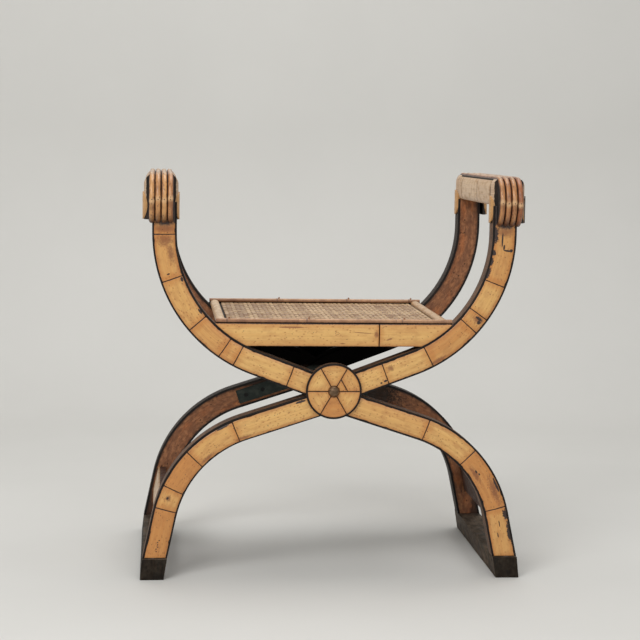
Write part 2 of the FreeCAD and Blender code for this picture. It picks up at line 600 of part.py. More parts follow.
def cheek_pair(x):
    """Dark cheek on the outer side of the front right scroll, and the bamboo oval bent over it."""
    half = LIMB_THICK / 2
    radius = (half ** 2 + CHEEK_BULGE ** 2) / (2 * CHEEK_BULGE)
    axis = Vector(x + CHEEK_BULGE - radius, ROLL_Y, CHEEK_BOTTOM)
    height = BAR_TOP - CHEEK_BOTTOM
    solid_side = box(x, x + BIG, FRONT, INNER, 0, BIG)
    post = Part.makeCylinder(radius, height, axis, UP).common(solid_side)
    base = Vector(x, FRONT, CHEEK_BOTTOM)
    crest = Vector(x + CHEEK_BULGE, FRONT, CHEEK_BOTTOM)
    shoulder = Vector(x + CHEEK_BULGE, FRONT, CHEEK_SHOULDER)
    top = Vector(x, FRONT, BAR_TOP)
    turn = math.pi / 4
    drop = BAR_TOP - CHEEK_SHOULDER
    middle = Vector(x + CHEEK_BULGE * math.sin(turn), FRONT, CHEEK_SHOULDER + drop * math.cos(turn))
    outline = [Part.LineSegment(base, crest), Part.LineSegment(crest, shoulder),
               Part.Arc(shoulder, middle, top), Part.LineSegment(top, base)]
    cheek = post.common(prism(outline, Vector(0, LIMB_THICK, 0)))
    sleeve = Part.makeCylinder(radius + OVAL_THICK, height, axis, UP)
    sleeve = sleeve.cut(Part.makeCylinder(radius, height, axis, UP)).common(solid_side)
    ellipse = Part.Ellipse(Vector(), OVAL_HEIGHT / 2, OVAL_WIDTH / 2)
    disc = Part.Face(Part.Wire(ellipse.toShape())).extrude(Vector(0, 0, BIG))
    disc.rotate(Vector(), Vector(0, 1, 0), 90.0)
    disc.translate(Vector(x, ROLL_Y, OVAL_Z))
    return cheek, largest(sleeve.common(disc))


def pin_set(fit):
    """One pin through each reed of the front right scroll, or the holes for them."""
    pitch = LIMB_WIDTH / REEDS
    tip = ROLL_Y - ROLL_R - REED_HEIGHT - PIN_HEAD
    places = [ARMREST_X + (index - (REEDS - 1) / 2) * pitch for index in range(REEDS)]
    return [rod(PIN_D + 2 * fit, Vector(x, tip, ROLL_Z), AHEAD, PIN_LENGTH + fit) for x in places]


def make_feet(side, flip):
    """Runner under the two legs of one side, and the stretcher between them with its outer facing."""
    top_half = (LIMB_WIDTH / 2) / math.sin(math.radians(LEG_ANGLE))
    outer = FRONT - RUNNER_PROUD
    floor_middle = FOOT_X + RUNNER_SPLAY
    bottom_half = RUNNER_BOTTOM / 2
    corners = [Vector(FOOT_X - top_half, outer, RUNNER_HEIGHT),
               Vector(FOOT_X + top_half, outer, RUNNER_HEIGHT),
               Vector(floor_middle + bottom_half, outer, 0),
               Vector(floor_middle - bottom_half, outer, 0)]
    runner = polygon(corners, Vector(0, -2 * outer, 0)).cut(Part.makeCompound(LIMB_HOLES))
    add(f"{side}_runner", flip(runner))

    skin = LIMB_WIDTH / 2 - STRETCHER_INSET

    def board(low, high):
        points = [Vector(leg_line_x(STRETCHER_BOTTOM, low), INNER, STRETCHER_BOTTOM),
                  Vector(leg_line_x(STRETCHER_BOTTOM, high), INNER, STRETCHER_BOTTOM),
                  Vector(leg_line_x(STRETCHER_TOP, high), INNER, STRETCHER_TOP),
                  Vector(leg_line_x(STRETCHER_TOP, low), INNER, STRETCHER_TOP)]
        return polygon(points, Vector(0, -2 * INNER, 0))

    wood = board(skin - STRETCHER_THICK, skin - FACING).cut(Part.makeCompound(STRETCHER_HOLES))
    add(f"{side}_stretcher", flip(wood))
    add(f"{side}_stretcher_facing", flip(board(skin - FACING, skin)))


def same(shape):
    return shape


def make_pins():
    pins = pin_set(0.0)
    pins += [mirror_x(pin) for pin in pins]
    add("reed_pins", *pins, *[mirror_y(pin) for pin in pins])


make_frame("front", same)
make_frame("back", mirror_y)
make_seat()
for side_name, turn_over in (("right", same), ("left", mirror_x)):
    make_armrest(side_name, turn_over)
    make_feet(side_name, turn_over)
make_dowels()
make_pins()

os.makedirs("parts", exist_ok=True)
for node_name, shape in nodes.items():
    shape.exportStep(f"parts/{node_name}.step")
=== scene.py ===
# %% [markdown]
# # Dressing a bamboo bench
# The bench has two X-shaped wooden frames faced with split bamboo, a woven seat, scrolled armrests and
# runner feet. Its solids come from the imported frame. This script keeps the plain wooden ones and gives them
# a finish, and remakes the bamboo as swept meshes, so that grain, chips and nodes can follow each strip.

# %% Load the frame
import math
import random
from collections import namedtuple

import bmesh
import bpy
from mathutils import Matrix, Vector


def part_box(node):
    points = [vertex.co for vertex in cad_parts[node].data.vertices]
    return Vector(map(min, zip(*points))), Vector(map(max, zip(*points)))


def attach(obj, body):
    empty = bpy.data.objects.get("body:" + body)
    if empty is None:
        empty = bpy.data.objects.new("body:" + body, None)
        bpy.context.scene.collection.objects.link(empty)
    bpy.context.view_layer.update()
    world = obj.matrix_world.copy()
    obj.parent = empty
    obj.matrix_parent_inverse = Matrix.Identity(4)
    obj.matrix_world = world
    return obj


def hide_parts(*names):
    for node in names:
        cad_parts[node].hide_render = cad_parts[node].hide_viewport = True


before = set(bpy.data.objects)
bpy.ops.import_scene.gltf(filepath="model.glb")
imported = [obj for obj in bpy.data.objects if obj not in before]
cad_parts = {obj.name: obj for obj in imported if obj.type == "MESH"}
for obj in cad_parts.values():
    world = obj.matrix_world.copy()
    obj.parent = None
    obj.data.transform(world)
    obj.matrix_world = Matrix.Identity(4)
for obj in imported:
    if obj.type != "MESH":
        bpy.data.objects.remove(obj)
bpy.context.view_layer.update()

# %% [markdown]
# ## The limbs as paths
# Each limb half is a straight run from the crossing, one round bend and a straight end. The bamboo follows
# that line, so the line is worked out here once from the bench's own sizes. A point on it is given by its
# distance from the crossing and its offset towards the outer edge of the bend.

# %% Sizes of the frames, in metres
MM = 0.001
CROSS_Z = 328 * MM
CROSS_SLOPE = math.radians(20.6)
LEG_CROSS_Z = CROSS_Z - 12 * MM
LEG_CROSS_SLOPE = math.radians(18)
ARM_X = 294 * MM
ARMREST_X = ARM_X + 6 * MM
ARM_BEND = 240 * MM
LEG_BEND = 205 * MM
LEG_SLOPE = math.radians(78)
FOOT_X = 307.6 * MM
LIMB_WIDTH = 42 * MM
LIMB_THICK = 34 * MM
FACING = 3 * MM
EDGE_STRIP = 4 * MM
JOINT_GAP = 0.95 * MM
RUNNER_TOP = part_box("right_runner")[1].z
BAR_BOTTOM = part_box("right_inner_splits")[0].z
BAR_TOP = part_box("right_armrest_bar")[1].z
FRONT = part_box("front_arm_right_facing")[0].y
CORE_FRONT = FRONT + FACING
INNER = FRONT + LIMB_THICK
print("front face", round(FRONT, 4), "bar", round(BAR_BOTTOM, 4), "to", round(BAR_TOP, 4))


# %% Limb centre lines
class LimbPath:
    """Centre line of a right limb half in the plane of its frame, from the crossing to its end."""

    def __init__(self, sign, start_z, start_slope, end_x, end_z, end_slope, radius):
        self.sign, self.start_z, self.start_slope = sign, start_z, start_slope
        self.end_slope, self.radius = end_slope, radius
        cot = math.cos(end_slope) / math.sin(end_slope)
        rise = (end_z - start_z) * sign
        corner = (end_x - rise * cot) / (1 - math.tan(start_slope) * cot)
        tangent = radius * math.tan((end_slope - start_slope) / 2)
        self.straight = corner / math.cos(start_slope) - tangent
        self.bend = radius * (end_slope - start_slope)
        bend_x = corner + tangent * math.cos(end_slope)
        bend_rise = math.tan(start_slope) * corner + tangent * math.sin(end_slope)
        self.length = self.straight + self.bend + math.hypot(end_x - bend_x, rise - bend_rise)

    def slope(self, along):
        turned = (along - self.straight) / self.radius
        return self.start_slope + min(max(turned, 0), self.end_slope - self.start_slope)

    def at(self, along, offset=0.0):
        """X and Z at a distance from the crossing; a plus offset is towards the outer edge of the bend."""
        slope = self.slope(along)
        first = min(along, self.straight)
        x, rise = first * math.cos(self.start_slope), first * math.sin(self.start_slope)
        if along > self.straight:
            x += self.radius * (math.sin(slope) - math.sin(self.start_slope))
            rise += self.radius * (math.cos(self.start_slope) - math.cos(slope))
        past = max(along - self.straight - self.bend, 0)
        x += past * math.cos(slope) + offset * math.sin(slope)
        rise += past * math.sin(slope) - offset * math.cos(slope)
        return x, self.start_z + self.sign * rise


ARM = LimbPath(1, CROSS_Z, CROSS_SLOPE, ARM_X, BAR_BOTTOM, math.pi / 2, ARM_BEND)
LEG = LimbPath(-1, LEG_CROSS_Z, LEG_CROSS_SLOPE, FOOT_X, RUNNER_TOP, LEG_SLOPE, LEG_BEND)
SIDES = {"left": -1, "right": 1}
FRAMES = {"front": -1, "back": 1}
print("arm length", round(ARM.length, 4), "leg length", round(LEG.length, 4))

# %% [markdown]
# ## Node helpers
# Geometry trees and shader trees are both built in code here. A few small helpers keep that readable: the
# first adds a node and fills its sockets, the next ones add the nodes used most, and the last makes a group
# with named inputs and outputs.


# %% Node helpers
def put(tree, kind, sockets=None, **settings):
    """Adds a node, sets its properties, then links or fills its sockets."""
    node = tree.nodes.new(kind)
    for key, value in settings.items():
        setattr(node, key, value)
    for key, value in (sockets or {}).items():
        if isinstance(value, bpy.types.NodeSocket):
            tree.links.new(value, node.inputs[key])
        else:
            node.inputs[key].default_value = value
    return node


def calc(tree, operation, *values, clamp=False):
    """Math node on links or numbers."""
    node = put(tree, "ShaderNodeMath", dict(enumerate(values)), operation=operation, use_clamp=clamp)
    return node.outputs[0]


def times(tree, first, second):
    return calc(tree, "MULTIPLY", first, second)


def times_add(tree, value, factor, added):
    return calc(tree, "MULTIPLY_ADD", value, factor, added)


def minus(tree, first, second):
    return calc(tree, "SUBTRACT", first, second)


def most(tree, first, second):
    return calc(tree, "MAXIMUM", first, second)


def absolute(tree, value):
    return calc(tree, "ABSOLUTE", value)


# %% Vector, range and noise helpers
def vector_calc(tree, operation, *values):
    node = put(tree, "ShaderNodeVectorMath", dict(enumerate(values)), operation=operation)
    return node.outputs["Value" if operation in ("LENGTH", "DOT_PRODUCT") else "Vector"]


def join_xyz(tree, x, y, z):
    return put(tree, "ShaderNodeCombineXYZ", {0: x, 1: y, 2: z}).outputs[0]


def parts_of(tree, vector):
    """X, Y and Z of a vector."""
    return put(tree, "ShaderNodeSeparateXYZ", {0: vector}).outputs


def object_place(tree):
    """Place of the point that is shaded, in the bench's frame."""
    return put(tree, "ShaderNodeTexCoord").outputs["Object"]


def normal_parts(tree):
    """X, Y and Z of the surface's normal."""
    return parts_of(tree, put(tree, "ShaderNodeNewGeometry").outputs["Normal"])


def span(tree, value, low, high, to_low=0.0, to_high=1.0, smooth=False):
    """Maps a value from one range to another and holds it at the ends."""
    kind = "SMOOTHSTEP" if smooth else "LINEAR"
    sockets = {0: value, 1: low, 2: high, 3: to_low, 4: to_high}
    return put(tree, "ShaderNodeMapRange", sockets, interpolation_type=kind).outputs[0]


def cloud(tree, vector, scale, detail=3.0, roughness=0.55):
    """Noise value over a vector."""
    sockets = {"Vector": vector, "Scale": scale, "Detail": detail, "Roughness": roughness}
    return put(tree, "ShaderNodeTexNoise", sockets).outputs["Fac"]


# %% Groups with named sockets
FLOAT, VECTOR, INT = "NodeSocketFloat", "NodeSocketVector", "NodeSocketInt"
GEOMETRY, MATERIAL = "NodeSocketGeometry", "NodeSocketMaterial"


def spaced(values):
    """Socket names from keyword names, which have _ for each space."""
    return {label.replace("_", " "): value for label, value in values.items()}


def new_group(name, kind, inputs, outputs):
    """Node group with named sockets; returns the group, its inputs and its output node."""
    group = bpy.data.node_groups.new(name, kind)
    for label, socket_type, default in inputs:
        socket = group.interface.new_socket(name=label, in_out="INPUT", socket_type=socket_type)
        if default is not None:
            socket.default_value = default
    for label, socket_type in outputs:
        group.interface.new_socket(name=label, in_out="OUTPUT", socket_type=socket_type)
    given = group.nodes.new("NodeGroupInput").outputs
    return group, given, group.nodes.new("NodeGroupOutput")


# %% [markdown]
# ## One sweep for every strip of bamboo
# A split culm is a long strip with a flat back and a rounded face. Facings, reeds, rails and poles differ
# only in width, height and how square their corners are. So one geometry tree sweeps an arc that is pressed
# into a superellipse, along paths that carry their own outward direction. It also chips the edges with
# seeded noise, and keeps the distance along and across each strip for the materials.


# %% Attributes in a geometry tree
def named(tree, name, data_type="FLOAT"):
    """Named attribute as a field."""
    node = put(tree, "GeometryNodeInputNamedAttribute", {"Name": name}, data_type=data_type)
    return node.outputs["Attribute"]


def store(tree, geometry, name, value, data_type="FLOAT"):
    """Geometry with a named attribute written on its points."""
    sockets = {"Geometry": geometry, "Name": name, "Value": value}
    return put(tree, "GeometryNodeStoreNamedAttribute", sockets, data_type=data_type).outputs[0]


# %% Section of a strip
def squared_rise(tree, across, side, power):
    """Height of a superellipse at a place across it, with the sign of the circle it was made from."""
    short = minus(tree, 1.0, calc(tree, "POWER", absolute(tree, across), power))
    rise = calc(tree, "POWER", most(tree, short, 0.0), calc(tree, "DIVIDE", 1.0, power))
    return times(tree, calc(tree, "SIGN", side), rise)


def strip_profile(tree, given):
    """Arc pressed to the strip's section: outward along X, across along Y."""
    sockets = {"Resolution": given["Points"], "Radius": 1.0, "Start Angle": 0.0,
               "Sweep Angle": given["Sweep"]}
    arc = put(tree, "GeometryNodeCurveArc", sockets, mode="RADIUS").outputs["Curve"]
    arc = put(tree, "GeometryNodeSetSplineCyclic", {"Geometry": arc, "Cyclic": True}).outputs[0]
    place = parts_of(tree, put(tree, "GeometryNodeInputPosition").outputs[0])
    arc = store(tree, arc, "across", place["X"])
    across = named(tree, "across")
    dome = minus(tree, 1.0, times(tree, across, across))
    rise = squared_rise(tree, across, place["Y"], given["Squareness"])
    rise = times(tree, rise, given["Height"])
    rise = times_add(tree, dome, given["Crown"], rise)
    half = times(tree, given["Width"], 0.5)
    section = join_xyz(tree, rise, times(tree, across, half), 0.0)
    return put(tree, "GeometryNodeSetPosition", {"Geometry": arc, "Position": section}).outputs[0], half


# %% Chipped edges
CHIP_SCALE = 55.0
SEED_STEP = 0.37


def chip_edges(tree, given, mesh):
    """Moves the strip's long edges inwards where seeded noise is high."""
    position = put(tree, "GeometryNodeInputPosition").outputs[0]
    shift = times(tree, given["Seed"], SEED_STEP)
    spot = vector_calc(tree, "ADD", position, join_xyz(tree, shift, shift, shift))
    noise = cloud(tree, spot, CHIP_SCALE, 4.0, 0.6)
    bite = span(tree, noise, minus(tree, 0.78, given["Chip Share"]), 0.80)
    across = named(tree, "across")
    edge = span(tree, absolute(tree, across), 0.75, 1.0)
    reach = times(tree, times(tree, bite, edge), given["Chip Depth"])
    inward = times(tree, reach, times(tree, calc(tree, "SIGN", across), -1.0))
    heading, outward = named(tree, "heading", "FLOAT_VECTOR"), named(tree, "outward", "FLOAT_VECTOR")
    side = vector_calc(tree, "CROSS_PRODUCT", heading, outward)
    offset = put(tree, "ShaderNodeVectorMath", {0: side, "Scale": inward}, operation="SCALE").outputs[0]
    return put(tree, "GeometryNodeSetPosition", {"Geometry": mesh, "Offset": offset}).outputs[0]


# %% Geometry tree: bamboo strip
def build_strip_tree():
    inputs = [("Paths", GEOMETRY, None), ("Width", FLOAT, 0.03), ("Height", FLOAT, 0.003),
              ("Crown", FLOAT, 0.0), ("Squareness", FLOAT, 2.0), ("Points", INT, 16),
              ("Sweep", FLOAT, math.pi), ("Chip Depth", FLOAT, 0.0), ("Chip Share", FLOAT, 0.3),
              ("Seed", INT, 0), ("Finish", MATERIAL, None)]
    tree, given, result = new_group("bamboo_strip", "GeometryNodeTree", inputs, [("Mesh", GEOMETRY)])
    curve = put(tree, "GeometryNodeMeshToCurve", {"Mesh": given["Paths"]}).outputs[0]
    sockets = {"Curve": curve, "Normal": named(tree, "outward", "FLOAT_VECTOR")}
    curve = put(tree, "GeometryNodeSetCurveNormal", sockets, mode="FREE").outputs[0]
    curve = store(tree, curve, "heading", put(tree, "GeometryNodeInputTangent").outputs[0], "FLOAT_VECTOR")
    profile, half = strip_profile(tree, given)
    sockets = {"Curve": curve, "Profile Curve": profile, "Scale": named(tree, "swell"), "Fill Caps": True}
    mesh = put(tree, "GeometryNodeCurveToMesh", sockets).outputs[0]
    mesh = put(tree, "GeometryNodeFlipFaces", {"Mesh": mesh}).outputs[0]
    across = named(tree, "across")
    strip = join_xyz(tree, named(tree, "along"), times(tree, across, half), named(tree, "tone"))
    mesh = store(tree, mesh, "strip", strip, "FLOAT_VECTOR")
    mesh = store(tree, mesh, "rim", absolute(tree, across))
    mesh = chip_edges(tree, given, mesh)
    mesh = put(tree, "GeometryNodeRealizeInstances", {"Geometry": mesh}).outputs[0]
    mesh = put(tree, "GeometryNodeSetMaterial", {"Geometry": mesh, "Material": given["Finish"]}).outputs[0]
    tree.links.new(mesh, result.inputs["Mesh"])
    return tree


STRIP_TREE = build_strip_tree()
print("strip tree has", len(STRIP_TREE.nodes), "nodes")

# %% [markdown]
# ## Paths for the sweep
# A path is a chain of edges whose points know five things: which way is outward, how far along the strip
# they are, how far the nearer end is, the strip's tone, and a swell that thickens it at a node or eases its
# ends. The modifier runs on that chain, and the result is kept as a plain mesh.

# %% Points of a path
Spot = namedtuple("Spot", "place outward along tone swell ends")
STEP = 2.5 * MM
END_EASE = 1.2 * MM
END_SWELL = 0.965


def ease(along, start, end):
    """Swell that rounds a strip's two ends over."""
    reach = min(along - start, end - along) / END_EASE
    return END_SWELL + (1 - END_SWELL) * min(reach, 1.0) ** 0.5


def run_of(place, outward, start, end, tone, swell=None):
    """Spots from start to end; place, outward and swell are functions of the distance along."""
    count = max(int((end - start) / STEP), 2)
    stations = [start, start + END_EASE / 3]
    stations += [start + END_EASE + (end - start - 2 * END_EASE) * i / count for i in range(count + 1)]
    stations += [end - END_EASE / 3, end]
    widen = swell or (lambda along: 1.0)
    return [Spot(place(s), outward(s), s, tone, ease(s, start, end) * widen(s), min(s - start, end - s))
            for s in stations]


# %% Objects and meshes
def new_object(name, data):
    """Object in the scene that holds a mesh, a lamp or a camera."""
    made = bpy.data.objects.new(name, data)
    bpy.context.scene.collection.objects.link(made)
    return made


def baked(piece):
    """Mesh of a piece as its modifiers leave it."""
    return bpy.data.meshes.new_from_object(piece.evaluated_get(bpy.context.evaluated_depsgraph_get()))


def smooth(piece, angle=35):
    """Smooth shading, with edges sharper than the angle kept crisp."""
    piece.data.shade_smooth()
    piece.data.set_sharp_from_angle(angle=math.radians(angle))
    return piece


# %% From a path to a swept piece
def path_host(name, runs):
    """Object of bare edges that carries the runs and their values."""
    mesh = bpy.data.meshes.new(name)
    spots = [spot for run in runs for spot in run]
    edges, first = [], 0
    for run in runs:
        edges += [(i, i + 1) for i in range(first, first + len(run) - 1)]
        first += len(run)
    mesh.from_pydata([spot.place for spot in spots], edges, [])
    for key in ("along", "tone", "swell", "ends"):
        layer = mesh.attributes.new(key, "FLOAT", "POINT")
        layer.data.foreach_set("value", [getattr(spot, key) for spot in spots])
    layer = mesh.attributes.new("outward", "FLOAT_VECTOR", "POINT")
    layer.data.foreach_set("vector", [value for spot in spots for value in spot.outward])
    return new_object(name, mesh)


def grow(host, tree, values):
    """Runs a geometry tree on an object and leaves the result on it as a plain mesh."""
    modifier = host.modifiers.new(tree.name, "NODES")
    modifier.node_group = tree
    for item in tree.interface.items_tree:
        if item.in_out == "INPUT" and item.name in values:
            modifier[item.identifier] = values[item.name]
    mesh = baked(host)
    host.modifiers.remove(modifier)
    host.data = mesh
    return smooth(host)


def swept(name, runs, finish, **values):
    """Strips of bamboo along runs; values are the strip tree's inputs."""
    return grow(path_host(name, runs), STRIP_TREE, {"Finish": finish, **spaced(values)})


def settle(piece, slot, *nodes):
    """The finished piece rides on the bench and stands for its solids."""
    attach(piece, "root")
    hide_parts(*nodes)
    print(piece.name, len(piece.data.polygons), "faces for", ", ".join(nodes))
    return piece


# %% [markdown]
# ## Shared effects
# Bamboo, wood and paint here share a few effects, each a shader group: fine fibres that run along a strip,
# insect holes, soft blotches, and single marks such as a burn, a crack or a painted shadow. The first three
# take a strip vector, whose X runs along the piece and whose Y runs across it, in metres. A mark has its own
# place in the bench's frame.


# %% Groups for fibres and specks
def build_fibres():
    inputs = [("Strip", VECTOR, None), ("Along", FLOAT, 7.0), ("Across", FLOAT, 900.0)]
    group, given, result = new_group("fibres", "ShaderNodeTree", inputs, [("Streak", FLOAT)])
    stretch = join_xyz(group, given["Along"], given["Across"], 57.0)
    streak = cloud(group, vector_calc(group, "MULTIPLY", given["Strip"], stretch), 1.0, 3.0, 0.6)
    group.links.new(span(group, streak, 0.3, 0.7), result.inputs["Streak"])
    return group


def build_specks():
    inputs = [("Strip", VECTOR, None), ("Density", FLOAT, 110.0), ("Share", FLOAT, 0.2), ("Size", FLOAT, 0.2),
              ("Stretch", VECTOR, (1.0, 1.7, 0.3))]
    group, given, result = new_group("specks", "ShaderNodeTree", inputs, [("Mask", FLOAT)])
    spot = vector_calc(group, "MULTIPLY", given["Strip"], given["Stretch"])
    cells = put(group, "ShaderNodeTexVoronoi", {"Vector": spot, "Scale": given["Density"]})
    chance = put(group, "ShaderNodeSeparateColor", {0: cells.outputs["Color"]}).outputs[0]
    crowd = span(group, cloud(group, given["Strip"], 18.0, 2.0), 0.35, 0.65, 0.3, 1.5)
    wanted = calc(group, "LESS_THAN", chance, times(group, given["Share"], crowd))
    core = times(group, given["Size"], 0.5)
    dot = span(group, cells.outputs["Distance"], given["Size"], core, smooth=True)
    group.links.new(times(group, dot, wanted), result.inputs["Mask"])
    return group


# %% Groups for blotches and single marks
def build_blotches():
    inputs = [("Strip", VECTOR, None), ("Scale", FLOAT, 40.0), ("Low", FLOAT, 0.45), ("High", FLOAT, 0.65),
              ("Stretch", VECTOR, (1.0, 2.2, 91.0))]
    group, given, result = new_group("blotches", "ShaderNodeTree", inputs, [("Mask", FLOAT)])
    spot = vector_calc(group, "MULTIPLY", given["Strip"], given["Stretch"])
    spread = cloud(group, spot, given["Scale"], 5.0, 0.6)
    group.links.new(span(group, spread, given["Low"], given["High"], smooth=True), result.inputs["Mask"])
    return group


def build_mark():
    inputs = [("Centre", VECTOR, None), ("Half Size", VECTOR, (0.01, 0.01, 0.01)), ("Turn", FLOAT, 0.0),
              ("Ragged", FLOAT, 0.6), ("Soft", FLOAT, 0.25)]
    group, given, result = new_group("mark", "ShaderNodeTree", inputs, [("Mask", FLOAT)])
    place = object_place(group)
    local = vector_calc(group, "SUBTRACT", place, given["Centre"])
    sockets = {"Vector": local, "Angle": given["Turn"]}
    local = put(group, "ShaderNodeVectorRotate", sockets, rotation_type="Y_AXIS").outputs[0]
    far = vector_calc(group, "LENGTH", vector_calc(group, "DIVIDE", local, given["Half Size"]))
    rough = minus(group, cloud(group, place, 320.0, 4.0, 0.65), 0.5)
    far = times_add(group, rough, given["Ragged"], far)
    inner = minus(group, 1.05, given["Soft"])
    group.links.new(span(group, far, 1.05, inner, smooth=True), result.inputs["Mask"])
    return group


# %% Build the shared effects
FIBRES, SPECKS, BLOTCHES, MARK = build_fibres(), build_specks(), build_blotches(), build_mark()


def use(tree, group, **values):
    """Places a shared effect in a material, fills its sockets and returns its output."""
    return put(tree, "ShaderNodeGroup", spaced(values), node_tree=group).outputs[0]


print("shared effects:", ", ".join(group.name for group in (FIBRES, SPECKS, BLOTCHES, MARK)))

# %% [markdown]
# ## Bamboo finishes
# Split bamboo goes from straw yellow to orange brown, and every length on the real bench has its own tone.
# Old varnish leaves it satin. The fibres, the holes and the grime along the edges, with the painted shade in
# the gaps between strips, all follow the strip, so the material reads the strip's own coordinates. One
# function makes every bamboo finish from its colours, its amounts of wear and the painted light and shade it
# carries.


# %% Colour helpers
def srgb(red, green, blue):
    """Linear colour from screen values of 0 to 255."""
    def linear(value):
        part = value / 255
        return part / 12.92 if part <= 0.04045 else ((part + 0.055) / 1.055) ** 2.4
    return linear(red), linear(green), linear(blue), 1.0


def tint(tree, factor, first, second, blend="MIX"):
    """Mix of two colours, each a link or a plain colour."""
    sockets = {0: factor, 6: first, 7: second}
    return put(tree, "ShaderNodeMix", sockets, data_type="RGBA", blend_type=blend).outputs[2]


def new_finish(name):
    material = bpy.data.materials.new(name)
    material.use_nodes = True
    return material, material.node_tree, material.node_tree.nodes["Principled BSDF"]


def connect(tree, shader, colour, roughness, height, depth, shine=0.5):
    """Feeds a finish's colour, roughness and bump to its shader, and sets its plain specular level."""
    tree.links.new(colour, shader.inputs["Base Color"])
    tree.links.new(roughness, shader.inputs["Roughness"])
    bump = put(tree, "ShaderNodeBump", {"Height": height, "Distance": depth, "Strength": 1.0})
    tree.links.new(bump.outputs[0], shader.inputs["Normal"])
    shader.inputs["Specular IOR Level"].default_value = shine


def list_finishes(kind, *finishes):
    print(kind, "finishes:", ", ".join(finish.name for finish in finishes))


def marks_mask(tree, marks):
    """Largest of several single marks."""
    total = 0.0
    for mark in marks:
        mask = use(tree, MARK, Centre=mark.centre, Half_Size=mark.half_size, Turn=mark.turn,
                   Ragged=mark.ragged, Soft=mark.soft)
        total = mask if total == 0.0 else most(tree, total, mask)
    return total


# %% Single marks
Mark = namedtuple("Mark", "centre half_size turn ragged soft")
MARK_DEPTH = 12 * MM


def limb_mark(half, side, along, offset, length, width, ragged=0.7, soft=0.25, y=FRONT):
    """Mark on a limb, by default on its front; place and size along and across it are in millimetres."""
    x, z = half.at(along * MM, offset * MM)
    turn = half.slope(along * MM) * half.sign * SIDES[side]
    size = (length * MM / 2, MARK_DEPTH, width * MM / 2)
    return Mark((SIDES[side] * x, y, z), size, turn, ragged, soft)


def limb_marks(half, side, *rows):
    """Marks on one limb half; each row has the values that limb_mark takes after the side."""
    return [limb_mark(half, side, *row) for row in rows]


def apron_mark(x, z, length, height, turn, ragged, soft):
    """Mark on the front apron, in millimetres from the middle and from the floor, turned by degrees."""
    size = (length * MM / 2, MARK_DEPTH, height * MM / 2)
    return Mark((x * MM, FRONT, z * MM), size, math.radians(turn), ragged, soft)


# %% Marks on the front frame
FOOT_DOTS = (13, 17, 21, 25, 29, 33)
# Burns and dark marks, with painted shade and shadow among them
BURNS_AND_SHADE = [
    # Painted shadow in the gap where each front leg's facing meets its runner
    *[Mark((turn * FOOT_X, FRONT, RUNNER_TOP), (30 * MM, MARK_DEPTH, 1.8 * MM), 0.0, 0.4, 0.4)
      for turn in SIDES.values()],
    *[limb_mark(LEG, "left", LEG.length / MM - rise, rise % 3 - 1, 2.6, 2.2, 1.0) for rise in FOOT_DOTS],
    # Dark smear across the top of each front arm, under its scroll
    *[limb_mark(ARM, side, 454, 0, 14, 44, 1.0, 0.8) for side in SIDES],
    *[limb_mark(ARM, side, 474, -18, 50, 11, 0.8, 0.3) for side in SIDES],
    *limb_marks(ARM, "right", (440, -17, 34, 13, 2.4, 0.4), (430, -4, 28, 3.0, 0.5),
                (417, 0, 10, 3.4, 0.5), (412, 7, 3.6, 15, 0.6), (413, 13.5, 6, 6, 0.8),
                (405, -17, 10, 9, 2.0), (388, -17.5, 16, 7, 2.0), (366, -17.5, 22, 7, 2.0),
                (286, 6, 5, 15, 1.1), (281, 10, 7, 7, 1.0), (92, 12, 7, 4, 0.9),
                (84, 13, 4, 3, 0.8)),
    *limb_marks(LEG, "right", (381, 16, 20, 11, 2.0), (415, 17, 40, 8, 2.2), (395, 2, 12, 2, 1.1),
                (415, -4, 10, 2, 1.1), (291, -4, 7, 3, 1.0), (298, -2, 5, 3, 1.0),
                (329, 15, 30, 4, 1.2)),
    *limb_marks(ARM, "left", (366, 4, 3, 6, 0.8), (350, -15, 9, 5, 0.8), (282, -15.5, 12, 4, 0.9)),
    *limb_marks(LEG, "left", (196, 15.5, 26, 4, 1.2), (56, 14, 22, 4, 1.2), (347, 3, 5, 4, 1.2)),
]
STAINS = [
    *limb_marks(ARM, "left", (444, 0, 20, 50, 0.6, 0.8), (424, 0, 26, 40, 1.2, 0.8),
                (400, -8, 50, 16, 1.4, 0.9)),
    *limb_marks(ARM, "right", (284, 6, 16, 22, 1.3, 0.6), (444, 0, 26, 46, 0.9, 0.9),
                (190, 14, 40, 10, 1.3, 0.8), (108, -6, 16, 14, 1.4, 0.8)),
    *limb_marks(LEG, "left", (347, 2, 13, 13, 1.3, 0.7), (245, -14, 40, 8, 1.3, 0.8),
                (168, -15, 40, 8, 1.2, 0.8)),
    *limb_marks(LEG, "right", (335, 8, 70, 16, 1.4, 0.8), (295, -8, 46, 12, 1.4, 0.8)),
]
# Painted shadow of the front pole along the apron's top edge
APRON_POLE_SHADOW = [apron_mark(0, 449.2, 660, 5.0, 0, 0.9, 0.35)]
APRON_STAINS = [
    apron_mark(-74, 442, 56, 3.4, 0, 0.7, 0.4),
    apron_mark(73, 430, 10, 16, 0, 1.3, 0.8),
    apron_mark(48, 433, 46, 2, -4, 0.8, 0.5),
    apron_mark(96, 422, 14, 4, 20, 1.4, 0.6),
    apron_mark(14, 414, 12, 3, 0, 1.2, 0.6),
]
print(len(BURNS_AND_SHADE), "burns and", len(STAINS), "stains on the front limbs")


# %% Values that a bamboo finish reads
def strip_values(tree, upright):
    """A strip's vector, rim and distance to its ends, or Object coordinates with the fibres upright."""
    if upright:
        place = parts_of(tree, object_place(tree))
        return join_xyz(tree, place["Z"], place["Y"], 0.5), 0.0, 1.0
    strip = put(tree, "ShaderNodeAttribute", attribute_name="strip").outputs["Vector"]
    rim = put(tree, "ShaderNodeAttribute", attribute_name="rim").outputs["Fac"]
    return strip, rim, put(tree, "ShaderNodeAttribute", attribute_name="ends").outputs["Fac"]


